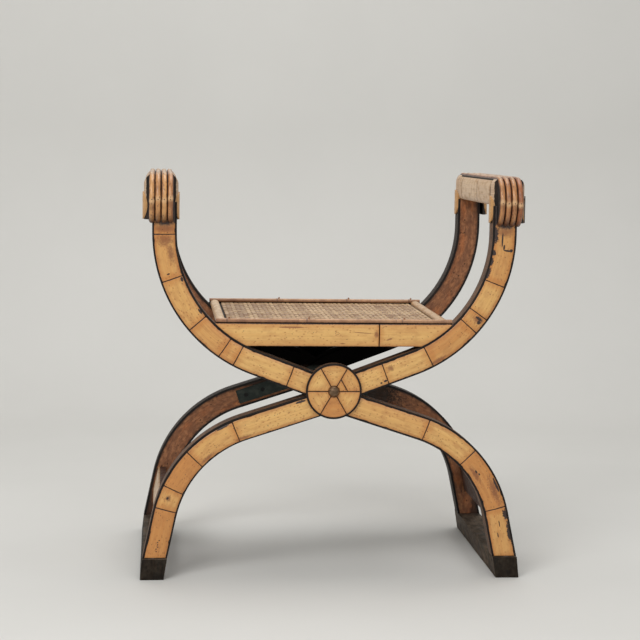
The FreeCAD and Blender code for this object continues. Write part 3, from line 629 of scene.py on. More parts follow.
def node_bands(tree, strip, bands, half_width):
    """Mask of the rings round a culm's nodes, which lie at given distances along it."""
    along = parts_of(tree, strip)["X"]
    total = 0.0
    for band in bands:
        away = absolute(tree, minus(tree, along, band))
        mask = span(tree, away, half_width, 0.0, 0.0, 0.8, smooth=True)
        total = mask if total == 0.0 else most(tree, total, mask)
    return total


# %% Parts of a bamboo finish
STAIN_AND_SHADE_BROWN = srgb(120, 66, 34)
BURN_AND_SHADE_BROWN = srgb(44, 24, 15)


def ripe_colour(tree, strip, rim, ends, ragged, straw, amber, warm):
    """Straw to amber by the strip's tone, warmer at its ends and along its edges; the warm edges are partly
    stain and partly painted shade of the rounded strip.
    """
    coarse = use(tree, FIBRES, Strip=strip, Along=3.0, Across=220.0)
    near_end = span(tree, times_add(tree, ragged, 10 * MM, ends), 6 * MM, 18 * MM, 1.0, 0.0)
    stained_and_shaded_edge = span(tree, times_add(tree, ragged, 0.3, rim), 0.8, 1.2)
    heat_and_edge_shade = times(tree, most(tree, near_end, stained_and_shaded_edge), warm)
    tone = minus(tree, parts_of(tree, strip)["Z"], 0.15)
    ripe = calc(tree, "ADD", times_add(tree, coarse, 0.3, tone), heat_and_edge_shade, clamp=True)
    return tint(tree, ripe, straw, amber)


def freckle_mask(tree, strip, rim, ragged, share):
    """Freckles, and wear along the edges."""
    worn_edge = span(tree, times_add(tree, ragged, 0.5, rim), 0.95, 1.4, 0.0, 0.6)
    freckle = use(tree, SPECKS, Strip=strip, Density=150.0, Share=1.3 * share, Size=0.36)
    return most(tree, times(tree, freckle, 0.6), worn_edge)


def dirt_and_gap_shade_mask(tree, strip, rim, ends, ragged, share, grime_and_gap_shade, edge_rough, edge_from):
    """Insect holes, grime in the joints, and grime along the edges that is partly painted shade in the gaps
    between strips.
    """
    hole = use(tree, SPECKS, Strip=strip, Density=190.0, Share=0.5 * share, Size=0.24)
    edge_at = times_add(tree, ragged, edge_rough, rim)
    edge = span(tree, edge_at, edge_from, edge_from + 0.65 * edge_rough, 0.0, grime_and_gap_shade)
    joint = span(tree, times_add(tree, ragged, 1.6 * MM, ends), 0.9 * MM, 1.6 * MM, grime_and_gap_shade, 0.0)
    return most(tree, times(tree, hole, 0.8), most(tree, edge, joint))


# %% Bamboo finish
def bamboo_finish(name, straw, amber, stain, share=0.42, blotch=0.45, grime_and_gap_shade=0.9, contrast=0.16, coat=0.3,
                  warm=0.5, burns_and_shade=(), stains_and_shade=(), upright=False, bands=(), band_width=0.0, band_colour=None,
                  bleach_and_top_light=None, edge_rough=0.2, edge_from=1.09, tuck_shade=0.0):
    """Split bamboo: tone, warm edges, fibres, stains, holes and grime, in that order; the warm edges, grime,
    marks, tucked ends and pale tops also carry painted light and shade.
    """
    material, tree, shader = new_finish(name)
    strip, rim, ends = strip_values(tree, upright)
    streak = use(tree, FIBRES, Strip=strip)
    patch = use(tree, BLOTCHES, Strip=strip)
    ragged = cloud(tree, strip, 140.0, 4.0)
    colour = ripe_colour(tree, strip, rim, ends, ragged, straw, amber, warm)
    # Paler on faces turned up: sun bleaching with painted light from above
    if bleach_and_top_light:
        bleached_and_top_lit = span(tree, normal_parts(tree)["Z"], 0.86, 1.0, 0.0, 0.75)
        colour = tint(tree, bleached_and_top_lit, colour, bleach_and_top_light)
    colour = tint(tree, times(tree, patch, blotch), colour, stain)
    if bands:
        colour = tint(tree, node_bands(tree, strip, bands, band_width), colour, band_colour)
    fibre = span(tree, streak, 0.0, 1.0, 1.0 - contrast, 1.0 + contrast / 2)
    colour = tint(tree, 1.0, colour, fibre, "MULTIPLY")
    # Stains, and painted shade where a mark is given for it, mix to one brown
    if stains_and_shade:
        colour = tint(tree, times(tree, marks_mask(tree, stains_and_shade), 0.75), colour, STAIN_AND_SHADE_BROWN)
    colour = tint(tree, freckle_mask(tree, strip, rim, ragged, share), colour, stain)
    dirt_and_shade = dirt_and_gap_shade_mask(tree, strip, rim, ends, ragged, share, grime_and_gap_shade, edge_rough, edge_from)
    if burns_and_shade:
        dirt_and_shade = most(tree, dirt_and_shade, marks_mask(tree, burns_and_shade))
    # Painted shade where the strip's ends tuck under
    if tuck_shade:
        tucked_shade = times_add(tree, ragged, -tuck_shade, ends)
        dirt_and_shade = most(tree, dirt_and_shade, span(tree, tucked_shade, -0.5 * tuck_shade, 0.5 * tuck_shade, 0.95, 0.0))
    # Holes, grime, burns, painted shade and painted shadows all darken to one brown
    colour = tint(tree, dirt_and_shade, colour, BURN_AND_SHADE_BROWN)
    roughness = times_add(tree, most(tree, dirt_and_shade, patch), 0.22, 0.36)
    height = times_add(tree, streak, 0.25, times(tree, dirt_and_shade, -1.0))
    connect(tree, shader, colour, roughness, height, 0.35 * MM)
    shader.inputs["Coat Weight"].default_value = coat
    shader.inputs["Coat Roughness"].default_value = 0.22
    return material


# %% Facings, aprons, mat, ovals and the pale pieces
FACING_COLOURS = srgb(226, 184, 112), srgb(194, 131, 66), srgb(158, 96, 46)
FACING_FINISH = bamboo_finish("facing bamboo", *FACING_COLOURS, blotch=0.32, contrast=0.1,
                              burns_and_shade=BURNS_AND_SHADE, stains_and_shade=STAINS)
APRON_FINISH = bamboo_finish("apron bamboo", *FACING_COLOURS, blotch=0.25, contrast=0.1,
                             burns_and_shade=APRON_POLE_SHADOW, stains_and_shade=APRON_STAINS)
rail_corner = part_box("seat_end_rails")[1]
# Painted shade on the outer side of the right seat rail
RAIL_SHADE = Mark((rail_corner.x, 0.0, rail_corner.z), (8 * MM, 0.5, 8 * MM), 0.0, 0.7, 0.6)
PALE_FINISH = bamboo_finish("worn pale bamboo", srgb(220, 189, 151), srgb(182, 143, 102), srgb(150, 110, 72),
                            share=0.08, blotch=0.35, grime_and_gap_shade=0.8, contrast=0.14, coat=0.05, warm=0.35,
                            stains_and_shade=[RAIL_SHADE])
# The mat's strip edges darken as painted shade in the gaps of the weave
MAT_FINISH = bamboo_finish("mat bamboo", srgb(214, 180, 134), srgb(142, 102, 66), srgb(104, 70, 46),
                           share=0.1, grime_and_gap_shade=0.95, coat=0.05)
oval_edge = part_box("right_scroll_ovals")[1].x
# Darker along the outermost edge of the right scroll's ovals
OVAL_DARKENING = Mark((oval_edge, FRONT, BAR_BOTTOM), (6 * MM, 60 * MM, 60 * MM), 0.0, 0.6, 0.5)
OVAL_FINISH = bamboo_finish("oval bamboo", srgb(214, 170, 108), srgb(190, 136, 82), srgb(150, 96, 54),
                            burns_and_shade=[OVAL_DARKENING], upright=True)
list_finishes("bamboo", FACING_FINISH, APRON_FINISH, PALE_FINISH, MAT_FINISH, OVAL_FINISH)

# %% [markdown]
# ## Wood, paint and metal
# The carcass shows in a few places: bare brown wood on the inner faces of the frames, blackened laths along
# the limbs' edges, boards under the seat that are stained black and carry painted shade, and charcoal
# runners.
# Grain on a bent limb follows the bend, so a group turns Object coordinates into distances along and across
# it, measured round the centre of the bend. The corner under the seat is stained black, with painted shade on
# the stain, on whatever piece is there, so its mask is a group too.


# %% Limb grain group
def build_limb_grain():
    outputs = [("Strip", VECTOR), ("Across", FLOAT)]
    group, _, result = new_group("limb_grain", "ShaderNodeTree", [], outputs)
    place = parts_of(group, object_place(group))
    is_arm = calc(group, "GREATER_THAN", place["Z"], CROSS_Z)
    arm_x, arm_z = ARM.at(ARM.straight, -ARM.radius)
    leg_x, leg_z = LEG.at(LEG.straight, -LEG.radius)
    dx = minus(group, absolute(group, place["X"]), span(group, is_arm, 0.0, 1.0, leg_x, arm_x))
    dz = minus(group, place["Z"], span(group, is_arm, 0.0, 1.0, leg_z, arm_z))
    radius = span(group, is_arm, 0.0, 1.0, LEG.radius, ARM.radius)
    along = times(group, calc(group, "ARCTAN2", dz, dx), radius)
    far = vector_calc(group, "LENGTH", join_xyz(group, dx, dz, 0.0))
    across = minus(group, far, radius)
    strip = join_xyz(group, along, calc(group, "ADD", across, place["Y"]), is_arm)
    group.links.new(strip, result.inputs["Strip"])
    group.links.new(across, result.inputs["Across"])
    return group


LIMB_GRAIN = build_limb_grain()
print("limb grain has", len(LIMB_GRAIN.nodes), "nodes")


def depth_from_middle(tree):
    """Distance of a point from the bench's middle plane, front to back."""
    return absolute(tree, parts_of(tree, object_place(tree))["Y"])


# %% Black stain and painted shade under the seat
UNDER_SEAT_REACH = 165 * MM
UNDER_SEAT_FADE = 30 * MM
EVEN = (1.0, 1.0, 1.0)


def build_under_seat():
    """Mask of the corner between the arms and the seat, which is stained black and painted with shade all
    round.
    """
    group, _, result = new_group("under_seat", "ShaderNodeTree", [], [("Mask", FLOAT)])
    place = parts_of(group, object_place(group))
    sideways = absolute(group, place["X"])
    near = span(group, sideways, UNDER_SEAT_REACH, UNDER_SEAT_REACH - UNDER_SEAT_FADE, smooth=True)
    high = span(group, place["Z"], CROSS_Z - 4 * MM, CROSS_Z + 4 * MM)
    group.links.new(times(group, near, high), result.inputs["Mask"])
    return group


UNDER_SEAT = build_under_seat()
# Near black for the stain under the seat, which also paints the shade there
STAIN_AND_SHADE_BLACK = srgb(8, 6, 5)
UNDER_SEAT_SHINE = 0.02
print("stain under the seat has", len(UNDER_SEAT.nodes), "nodes")


def stain_and_shade_under_seat(tree, shader, colour, shine, where=1.0):
    """Blackens and dulls a finish under the seat, for a black stain with painted shade on it; shine is its
    specular level elsewhere.
    """
    mask = times(tree, use(tree, UNDER_SEAT), where)
    level = span(tree, mask, 0.0, 1.0, shine, UNDER_SEAT_SHINE)
    tree.links.new(level, shader.inputs["Specular IOR Level"])
    return tint(tree, mask, colour, STAIN_AND_SHADE_BLACK)


# %% Blackened laths, discs and blocks
FACE_BLACK = srgb(19, 14, 12)


def dark_finish(name, black_from):
    """Black at the face, worn brown with streaks on the sides behind it."""
    material, tree, shader = new_finish(name)
    strip = put(tree, "ShaderNodeGroup", node_tree=LIMB_GRAIN).outputs["Strip"]
    streak = use(tree, FIBRES, Strip=strip, Along=14.0, Across=420.0)
    patch = use(tree, BLOTCHES, Strip=object_place(tree), Scale=45.0, Low=0.4, High=0.7, Stretch=EVEN)
    behind = calc(tree, "GREATER_THAN", parts_of(tree, object_place(tree))["Y"], 0.0)
    side = tint(tree, streak, srgb(74, 52, 39), srgb(134, 98, 70))
    side = tint(tree, times(tree, patch, 0.6), side, srgb(52, 36, 27))
    side = tint(tree, times(tree, behind, 0.85), side, srgb(22, 16, 13))
    face = tint(tree, patch, FACE_BLACK, srgb(36, 26, 20))
    ragged = times_add(tree, cloud(tree, object_place(tree), 120.0), 3.0 * MM, depth_from_middle(tree))
    black = span(tree, ragged, black_from, black_from + 1.2 * MM)
    black = most(tree, black, span(tree, ragged, abs(INNER) + 4.5 * MM, abs(INNER) + 3 * MM))
    # Black stain and painted shade under the seat, on the back frame only
    colour = stain_and_shade_under_seat(tree, shader, tint(tree, black, side, face), 0.25, behind)
    roughness = span(tree, streak, 0.0, 1.0, 0.5, 0.7)
    connect(tree, shader, colour, roughness, streak, 0.3 * MM)
    return material


LATH_FINISH = dark_finish("blackened lath", abs(FRONT) - 1.0 * MM)
DISC_FINISH = dark_finish("blackened disc", abs(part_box("front_boss_disc")[0].y) - 2.0 * MM)
BLOCK_FINISH = dark_finish("blackened block", 0.0)
list_finishes("dark", LATH_FINISH, DISC_FINISH, BLOCK_FINISH)


# %% Cheeks of the scrolls
CHEEK_DARK_Y = abs(FRONT) - 5 * MM
CHEEK_PALE_Z = BAR_BOTTOM + 3 * MM


def cheek_finish():
    """Split culm on the sides, black on the end that faces outwards and on the foot below the armrest."""
    material, tree, shader = new_finish("cheek")
    place = parts_of(tree, object_place(tree))
    strip = join_xyz(tree, place["Y"], place["Z"], 0.3)
    streak = use(tree, FIBRES, Strip=strip)
    patch = use(tree, BLOTCHES, Strip=object_place(tree), Scale=60.0, Low=0.4, High=0.7, Stretch=EVEN)
    pale = tint(tree, streak, srgb(168, 138, 112), srgb(212, 186, 158))
    black = tint(tree, patch, FACE_BLACK, srgb(48, 32, 22))
    ragged = minus(tree, cloud(tree, object_place(tree), 160.0, 4.0), 0.5)
    front = times_add(tree, ragged, 5 * MM, depth_from_middle(tree))
    low = times_add(tree, ragged, 4 * MM, place["Z"])
    dark = span(tree, front, CHEEK_DARK_Y, CHEEK_DARK_Y + 1 * MM)
    dark = most(tree, dark, span(tree, low, CHEEK_PALE_Z + 1 * MM, CHEEK_PALE_Z))
    colour = tint(tree, dark, pale, black)
    connect(tree, shader, colour, span(tree, streak, 0.0, 1.0, 0.45, 0.65), streak, 0.3 * MM, 0.3)
    return material


CHEEK_FINISH = cheek_finish()
print("cheeks are pale above", round(CHEEK_PALE_Z, 4))


# %% Bare wood inside the frames, and stained boards
def wood_finish(name, light, dark, rust, edge, edge_at, share=0.22, stains_and_shade=()):
    """Bare wood with grain along the limb, darker towards the limb's edges and on its covered face."""
    material, tree, shader = new_finish(name)
    grain = put(tree, "ShaderNodeGroup", node_tree=LIMB_GRAIN)
    strip = grain.outputs["Strip"]
    streak = use(tree, FIBRES, Strip=strip, Along=26.0, Across=260.0)
    mottle = use(tree, BLOTCHES, Strip=strip, Scale=110.0, Low=0.3, High=0.7, Stretch=(1.0, 1.4, 91.0))
    patch = use(tree, BLOTCHES, Strip=strip, Scale=48.0, Low=0.4, High=0.62)
    glow = use(tree, BLOTCHES, Strip=strip, Scale=17.0, Low=0.48, High=0.66)
    hole = use(tree, SPECKS, Strip=strip, Density=120.0, Share=share, Size=0.3)
    pale = times_add(tree, streak, 0.3, times(tree, mottle, 0.7))
    colour = tint(tree, pale, dark, light)
    colour = tint(tree, times(tree, glow, 0.5), colour, rust)
    colour = tint(tree, times(tree, patch, 0.6), colour, dark)
    across = absolute(tree, grain.outputs["Across"])
    far = times_add(tree, cloud(tree, object_place(tree), 110.0, 5.0, 0.7), 11 * MM, across)
    rim = span(tree, far, edge_at, edge_at + 5 * MM)
    rim = most(tree, rim, calc(tree, "GREATER_THAN", depth_from_middle(tree), abs(CORE_FRONT) - 1 * MM))
    colour = tint(tree, times(tree, rim, 0.85), colour, edge)
    colour = tint(tree, times(tree, hole, 0.8), colour, srgb(28, 18, 13))
    # Dark marks, partly stain and partly painted shade
    if stains_and_shade:
        colour = tint(tree, times(tree, marks_mask(tree, stains_and_shade), 0.9), colour, srgb(20, 19, 15))
    # Black stain and painted shade under the seat
    colour = stain_and_shade_under_seat(tree, shader, colour, 0.3)
    roughness = span(tree, patch, 0.0, 1.0, 0.75, 0.55)
    height = minus(tree, calc(tree, "ADD", streak, patch), hole)
    connect(tree, shader, colour, roughness, height, 0.5 * MM)
    return material


# Further from the centre line than any edge, so that nothing is darkened
NO_EDGE = 1.0
# Dark stain with painted shade on the back frame's right leg, just below the crossing
BACK_STAIN_AND_SHADE = limb_mark(LEG, "right", 95, 0, 200, 80, 1.2, 0.5, abs(INNER))
LIMB_FINISH = wood_finish("bare limb wood", srgb(174, 120, 82), srgb(106, 66, 44), srgb(184, 108, 60),
                          srgb(30, 21, 16), 19 * MM, stains_and_shade=[BACK_STAIN_AND_SHADE])
STRETCHER_FINISH = wood_finish("stretcher wood", srgb(98, 62, 44), srgb(46, 29, 21), srgb(94, 50, 32),
                               srgb(36, 24, 18), NO_EDGE)
# The boards under the seat are near black for their stain and for painted shade
BOARD_FINISH = wood_finish("stained board", srgb(34, 27, 23), srgb(22, 17, 14), srgb(30, 22, 18),
                           srgb(16, 13, 11), 0.0, 0.05)
DOWEL_FINISH = wood_finish("dowel wood", srgb(172, 140, 98), srgb(140, 108, 70), srgb(160, 120, 80),
                           srgb(120, 92, 60), NO_EDGE, 0.0)
list_finishes("wood", LIMB_FINISH, STRETCHER_FINISH, BOARD_FINISH, DOWEL_FINISH)


# %% Charcoal runners
def runner_finish():
    material, tree, shader = new_finish("charcoal runner")
    sockets = {"Vector": object_place(tree), "Angle": math.pi / 2}
    turned = put(tree, "ShaderNodeVectorRotate", sockets, rotation_type="Z_AXIS").outputs[0]
    streak = use(tree, FIBRES, Strip=turned, Along=10.0, Across=260.0)
    patch = use(tree, BLOTCHES, Strip=turned, Scale=42.0, Low=0.4, High=0.66, Stretch=EVEN)
    scuff = use(tree, SPECKS, Strip=turned, Density=150.0, Share=0.2, Size=0.26, Stretch=EVEN)
    mottle = use(tree, BLOTCHES, Strip=turned, Scale=75.0, Low=0.36, High=0.66, Stretch=(0.7, 1.3, 1.3))
    colour = tint(tree, streak, srgb(20, 15, 10), srgb(41, 31, 22))
    normal = normal_parts(tree)
    sideways = parts_of(tree, object_place(tree))["X"]
    inward = times(tree, normal["X"], times(tree, calc(tree, "SIGN", sideways), -1.0))
    handled = span(tree, most(tree, normal["Z"], inward), 0.3, 0.9)
    handled = times(tree, handled, span(tree, mottle, 0.0, 1.0, 0.25, 0.8))
    colour = tint(tree, times(tree, mottle, 0.45), colour, srgb(62, 55, 46))
    colour = tint(tree, handled, colour, srgb(112, 96, 80))
    colour = tint(tree, times(tree, patch, 0.5), colour, srgb(18, 15, 13))
    colour = tint(tree, times(tree, scuff, 0.3), colour, srgb(104, 90, 74))
    height = minus(tree, streak, scuff)
    connect(tree, shader, colour, span(tree, patch, 0.0, 1.0, 0.75, 0.55), height, 0.5 * MM, 0.15)
    return material


RUNNER_FINISH = runner_finish()
list_finishes("runner", RUNNER_FINISH)


# %% Iron, screws and bronze
def metal_finish(name, base, worn, metallic, smooth_at, stained_and_shaded=True):
    """Old metal: base colour with brighter worn patches and fine pits, stained black with painted shade under
    the seat.
    """
    material, tree, shader = new_finish(name)
    place = object_place(tree)
    patch = use(tree, BLOTCHES, Strip=place, Scale=70.0, Low=0.42, High=0.7, Stretch=EVEN)
    pit = use(tree, SPECKS, Strip=place, Density=420.0, Share=0.35, Size=0.3, Stretch=EVEN)
    colour = tint(tree, patch, base, worn)
    colour = tint(tree, times(tree, pit, 0.6), colour, srgb(20, 18, 15))
    if stained_and_shaded:
        # Black stain and painted shade under the seat
        colour = stain_and_shade_under_seat(tree, shader, colour, 0.4)
    roughness = span(tree, patch, 0.0, 1.0, smooth_at + 0.2, smooth_at)
    connect(tree, shader, colour, roughness, times(tree, pit, -1.0), 0.2 * MM)
    shader.inputs["Metallic"].default_value = metallic
    return material


IRON_FINISH = metal_finish("dark painted iron", srgb(30, 38, 33), srgb(46, 52, 45), 0.1, 0.5)
# The screws are near black, which also paints the shade in their sunk holes
SCREW_FINISH = metal_finish("dark screws", srgb(9, 8, 7), srgb(22, 18, 16), 0.0, 0.6)
BRONZE_FINISH = metal_finish("aged bronze", srgb(104, 84, 66), srgb(150, 124, 98), 1.0, 0.28, False)
list_finishes("metal", IRON_FINISH, SCREW_FINISH, BRONZE_FINISH)

# %% [markdown]
# ## Finishes on the kept solids
# These nodes already have the right shape, so they keep it and only take a finish. What the bamboo covers
# is hidden behind its own meshes.


# %% Finish the kept solids
dressed = []


def dress(node, finish):
    """Gives a kept solid its finish."""
    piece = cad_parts[node]
    piece.data.materials.clear()
    piece.data.materials.append(finish)
    dressed.append(node)


for face in FRAMES:
    for side in SIDES:
        dress(f"{face}_limb_{side}", LIMB_FINISH)
    dress(f"{face}_boss_stud", BRONZE_FINISH)
    dress(f"{face}_crossing_plates", IRON_FINISH)
    dress(f"{face}_plate_screws", SCREW_FINISH)
    dress(f"{face}_apron", BOARD_FINISH)
for side in SIDES:
    dress(f"{side}_scroll_ovals", OVAL_FINISH)
    for name in ("armrest_bar", "scroll_blocks"):
        dress(f"{side}_{name}", BLOCK_FINISH)
for name in ("seat_board", "seat_end_boards"):
    dress(name, BOARD_FINISH)
for name in ("limb_dowels", "stretcher_dowels", "apron_dowels"):
    dress(name, DOWEL_FINISH)
dress("reed_pins", SCREW_FINISH)
print("dressed", len(dressed), "solids")

# %% [markdown]
# ## Facings
# Each limb half is faced with lengths of flattened culm, butted end to end. Their joints and tones are the
# real bench's. They start at the boss and end under the scroll or on the runner, where the last one is cut
# level.

# %% Facings on arms and legs
BOSS_START = {"arm": 44 * MM, "leg": 28 * MM}
FOOT_SPARE = 5 * MM
FACING_LAP = 0.9 * MM
FACING_PROUD = 0.3 * MM
FACING_CROWN = 1.7 * MM
FACING_WIDTH = LIMB_WIDTH - 2 * EDGE_STRIP + 2 * FACING_LAP
CHIP_DEPTH = 2.4 * MM
CHIP_SHARE = 0.26
# Joints in millimetres from the crossing, and the tone of each length between them
JOINTS = {("arm", "left"): (81, 178, 205, 268, 356, 434), ("arm", "right"): (96, 177, 265, 292, 352),
          ("leg", "left"): (178, 265, 330, 368), ("leg", "right"): (172, 262, 368)}
TONES = {("arm", "left"): (0.35, 0.25, 0.6, 0.65, 0.45, 0.65, 0.85),
         ("arm", "right"): (0.3, 0.25, 0.8, 0.5, 0.4, 0.7),
         ("leg", "left"): (0.3, 0.5, 1.0, 0.55, 0.95), ("leg", "right"): (0.45, 0.4, 0.95, 0.65)}
HALVES = {"arm": ARM, "leg": LEG}
# How far the facing lies off the half's centre line, in millimetres
FACING_SHIFT = {("arm", "left"): 0.4, ("arm", "right"): 0.4, ("leg", "left"): -1.3, ("leg", "right"): 0.0}


def facing_runs(part, side, face):
    """One run for each length of facing on a limb half."""
    half, turn, way = HALVES[part], SIDES[side], FRAMES[face]
    end = half.length + (FOOT_SPARE if part == "leg" else 0.0)
    shift = FACING_SHIFT[part, side] * MM
    stops = [BOSS_START[part]] + [joint * MM for joint in JOINTS[part, side]] + [end]

    def place(along):
        x, z = half.at(along, shift * math.cos(half.slope(along)))
        return Vector((turn * x, way * abs(CORE_FRONT), z))

    runs = []
    for index, tone in enumerate(TONES[part, side]):
        start = stops[index] + JOINT_GAP / 2
        runs.append(run_of(place, lambda along: (0, way, 0), start, stops[index + 1] - JOINT_GAP / 2, tone))
    return runs


def level_foot(piece):
    """Brings what reaches below the runner's top up to it."""
    for vertex in piece.data.vertices:
        vertex.co.z = max(vertex.co.z, RUNNER_TOP)


for seed, (face, part, side) in enumerate((f, p, s) for f in FRAMES for p in HALVES for s in SIDES):
    piece = swept(f"{face}_{part}_{side}_bamboo", facing_runs(part, side, face), FACING_FINISH,
                  Width=FACING_WIDTH, Height=FACING + FACING_PROUD, Crown=FACING_CROWN, Squareness=16.0,
                  Points=22, Chip_Depth=CHIP_DEPTH, Chip_Share=CHIP_SHARE, Seed=seed)
    if part == "leg":
        level_foot(piece)
    settle(piece, "bamboo", f"{face}_{part}_{side}_facing")

# %% [markdown]
# ## Reeds over the armrests
# Four half-round reeds run up from under each scroll, over it, along the top of the armrest and down the
# other scroll. Each has a node on the scroll's nose, where a small pin holds it.

# %% Line of a reed
REEDS = 4
REED_PITCH = LIMB_WIDTH / REEDS
REED_GAP = 0.9 * MM
REED_HEIGHT = 4.8 * MM
ROLL_R = 40.5 * MM
ROLL_Z = BAR_TOP - ROLL_R
ROLL_Y = FRONT + LIMB_THICK / 2
ROLL_TURN = math.pi / 2 + math.acos((LIMB_THICK / 2) / ROLL_R)
ROLL_ARC = ROLL_R * ROLL_TURN
REED_TOP = 2 * abs(ROLL_Y)
REED_NODE = ROLL_ARC - ROLL_R * math.pi / 2
NODE_WIDTH = 3 * MM
NODE_SWELL = 0.07
REED_TONES = {"left": (0.65, 0.25, 0.42, 0.3), "right": (0.6, 0.75, 0.55, 1.0)}


def reed_spot(x, along):
    """Place and outward direction at a distance along a reed."""
    if along < ROLL_ARC:
        turn = (ROLL_ARC - along) / ROLL_R
        way = Vector((0, -math.sin(turn), math.cos(turn)))
        return Vector((x, ROLL_Y, ROLL_Z)) + way * ROLL_R, way
    if along < ROLL_ARC + REED_TOP:
        return Vector((x, ROLL_Y + along - ROLL_ARC, BAR_TOP)), Vector((0, 0, 1))
    turn = (along - ROLL_ARC - REED_TOP) / ROLL_R
    way = Vector((0, math.sin(turn), math.cos(turn)))
    return Vector((x, -ROLL_Y, ROLL_Z)) + way * ROLL_R, way


def bumps(nodes, swell, width):
    """Swell with a small rise at each node."""
    return lambda along: 1 + swell * sum(math.exp(-((along - node) / width) ** 2) for node in nodes)


REED_LENGTH = 2 * ROLL_ARC + REED_TOP
print("a reed is", round(REED_LENGTH, 4), "long")

# %% Reeds
NOSE_NODES = (REED_NODE, REED_LENGTH - REED_NODE)
TOP_NODE = ROLL_ARC + 0.45 * REED_TOP
REED_SWELL = bumps((*NOSE_NODES, TOP_NODE), NODE_SWELL, NODE_WIDTH)
REED_BAND = 7 * MM
# Reach of the painted shade where the reeds tuck under the scrolls
REED_TUCK_SHADE = 22 * MM
REED_SHIFT = (-2 * MM, 1.5 * MM, -1 * MM, 2.5 * MM)
# Reeds: pale tops partly painted top light, painted shade in the gaps and where they tuck under
REED_FINISH = bamboo_finish("reed bamboo", srgb(212, 160, 98), srgb(156, 94, 54), srgb(104, 58, 34),
                            blotch=0.6, share=0.5, warm=0.75, bands=NOSE_NODES, band_width=REED_BAND,
                            band_colour=srgb(214, 174, 128), bleach_and_top_light=srgb(208, 186, 158), edge_rough=0.5,
                            edge_from=0.98, tuck_shade=REED_TUCK_SHADE)

for side, turn in SIDES.items():
    runs = []
    for index in range(REEDS):
        x = turn * (ARMREST_X + (index - (REEDS - 1) / 2) * REED_PITCH)
        shift = REED_SHIFT[index]
        runs.append(run_of(lambda s: reed_spot(x, s - shift)[0], lambda s: reed_spot(x, s - shift)[1],
                           shift, REED_LENGTH + shift, REED_TONES[side][index], REED_SWELL))
    piece = swept(f"{side}_armrest_reeds_bamboo", runs, REED_FINISH, Width=REED_PITCH - REED_GAP,
                  Height=REED_HEIGHT, Squareness=2.2, Points=14)
    settle(piece, "reed_bamboo", f"{side}_armrest_reeds")

# %% [markdown]
# ## Straight strips
# The armrest bars are sided with split culm, the seat ends carry a half-round rail, the stretchers have a
# pale board and a thin pole lies along each long seat edge. All are straight, so one function makes their
# runs from a line and the places where it is cut.


# %% Runs along a line
def line_runs(origin, heading, outward, stops, tones, swell=None):
    """One run between each pair of stops on a straight line."""
    start = Vector(origin)
    way = Vector(heading)
    runs = []
    for first, last, tone in zip(stops, stops[1:], tones):
        runs.append(run_of(lambda s: start + way * s, lambda s: outward,
                           first + JOINT_GAP / 2, last - JOINT_GAP / 2, tone, swell))
    return runs


# %% Split culm on the bars' sides
SPLIT_HEIGHT = 7 * MM
SPLIT_JOINTS = (37 * MM, 199 * MM)
SPLIT_TONES = (0.35, 0.15, 0.45)

for side, turn in SIDES.items():
    for facing, way in (("inner", -turn), ("outer", turn)):
        node = f"{side}_{facing}_splits"
        low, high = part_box(node)
        face_x = turn * ARMREST_X + way * LIMB_WIDTH / 2
        middle = (low.z + high.z) / 2
        stops = [low.y] + [abs(INNER) - joint for joint in reversed(SPLIT_JOINTS)] + [high.y]
        runs = line_runs((face_x, 0, middle), (0, 1, 0), (way, 0, 0), stops, SPLIT_TONES)
        piece = swept(f"{side}_{facing}_split_culm", runs, PALE_FINISH, Width=high.z - low.z,
                      Height=SPLIT_HEIGHT, Squareness=2.6, Points=18)
        settle(piece, "pale_bamboo", node)

# %% Rails at the seat's ends
RAIL_WIDTH = 17 * MM
low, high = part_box("seat_end_rails")
runs = []
for turn, tone in ((-1, 0.0), (1, 0.55)):
    rail_x = turn * (high.x - RAIL_WIDTH / 2)
    runs += line_runs((rail_x, 0, low.z), (0, 1, 0), (0, 0, 1), [low.y, high.y], [tone])
rails = swept("seat_end_rail_culm", runs, PALE_FINISH, Width=RAIL_WIDTH, Height=high.z - low.z,
              Squareness=2.2, Points=16)
settle(rails, "pale_bamboo", "seat_end_rails")

# %% Pale boards on the stretchers
STRETCHER_INSET = 7 * MM
STRETCHER_SEAT = LIMB_WIDTH / 2 - STRETCHER_INSET - FACING
for side, turn in SIDES.items():
    node = f"{side}_stretcher_facing"
    low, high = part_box(node)
    middle = (low.z + high.z) / 2
    board_x = FOOT_X - (middle - RUNNER_TOP) / math.tan(LEG_SLOPE) + STRETCHER_SEAT / math.sin(LEG_SLOPE)
    outward = (turn * math.sin(LEG_SLOPE), 0, math.cos(LEG_SLOPE))
    runs = line_runs((turn * board_x, 0, middle), (0, 1, 0), outward, [low.y, high.y], [0.5])
    piece = swept(f"{side}_stretcher_board", runs, PALE_FINISH, Width=(high.z - low.z) / math.sin(LEG_SLOPE),
                  Height=FACING, Squareness=9.0, Points=18)
    settle(piece, "pale_bamboo", node)

# %% Cut twigs on the seat's poles
STUB_LENGTH = 8 * MM
STUB_SWELL = 0.36
STUB_TILT = math.radians(35)


def stub_run(axis, x, tone):
    """Short cut twig that stands on a pole at a node."""
    heading = Vector((math.sin(STUB_TILT), 0, math.cos(STUB_TILT)))
    outward = Vector((math.cos(STUB_TILT), 0, -math.sin(STUB_TILT)))
    foot = Vector((x, axis.y, axis.z))
    return run_of(lambda s: foot + heading * s, lambda s: outward, 0.0, STUB_LENGTH, tone,
                  lambda s: STUB_SWELL)


# %% Poles along the seat's edges
POLE_POINTS = 16
POLE_SWEEP = 2 * math.pi * (POLE_POINTS - 1) / POLE_POINTS
POLE_SHADE_SIZE = (400 * MM, 20 * MM, 2.2 * MM)
POLE_NODES = {"front": (-186 * MM, -48 * MM, 118 * MM), "back": (-74 * MM, 62 * MM, 184 * MM)}
POLE_SWELL = 0.16
POLE_NODE_WIDTH = 1.8 * MM
POLE_BAND = 2.4 * MM

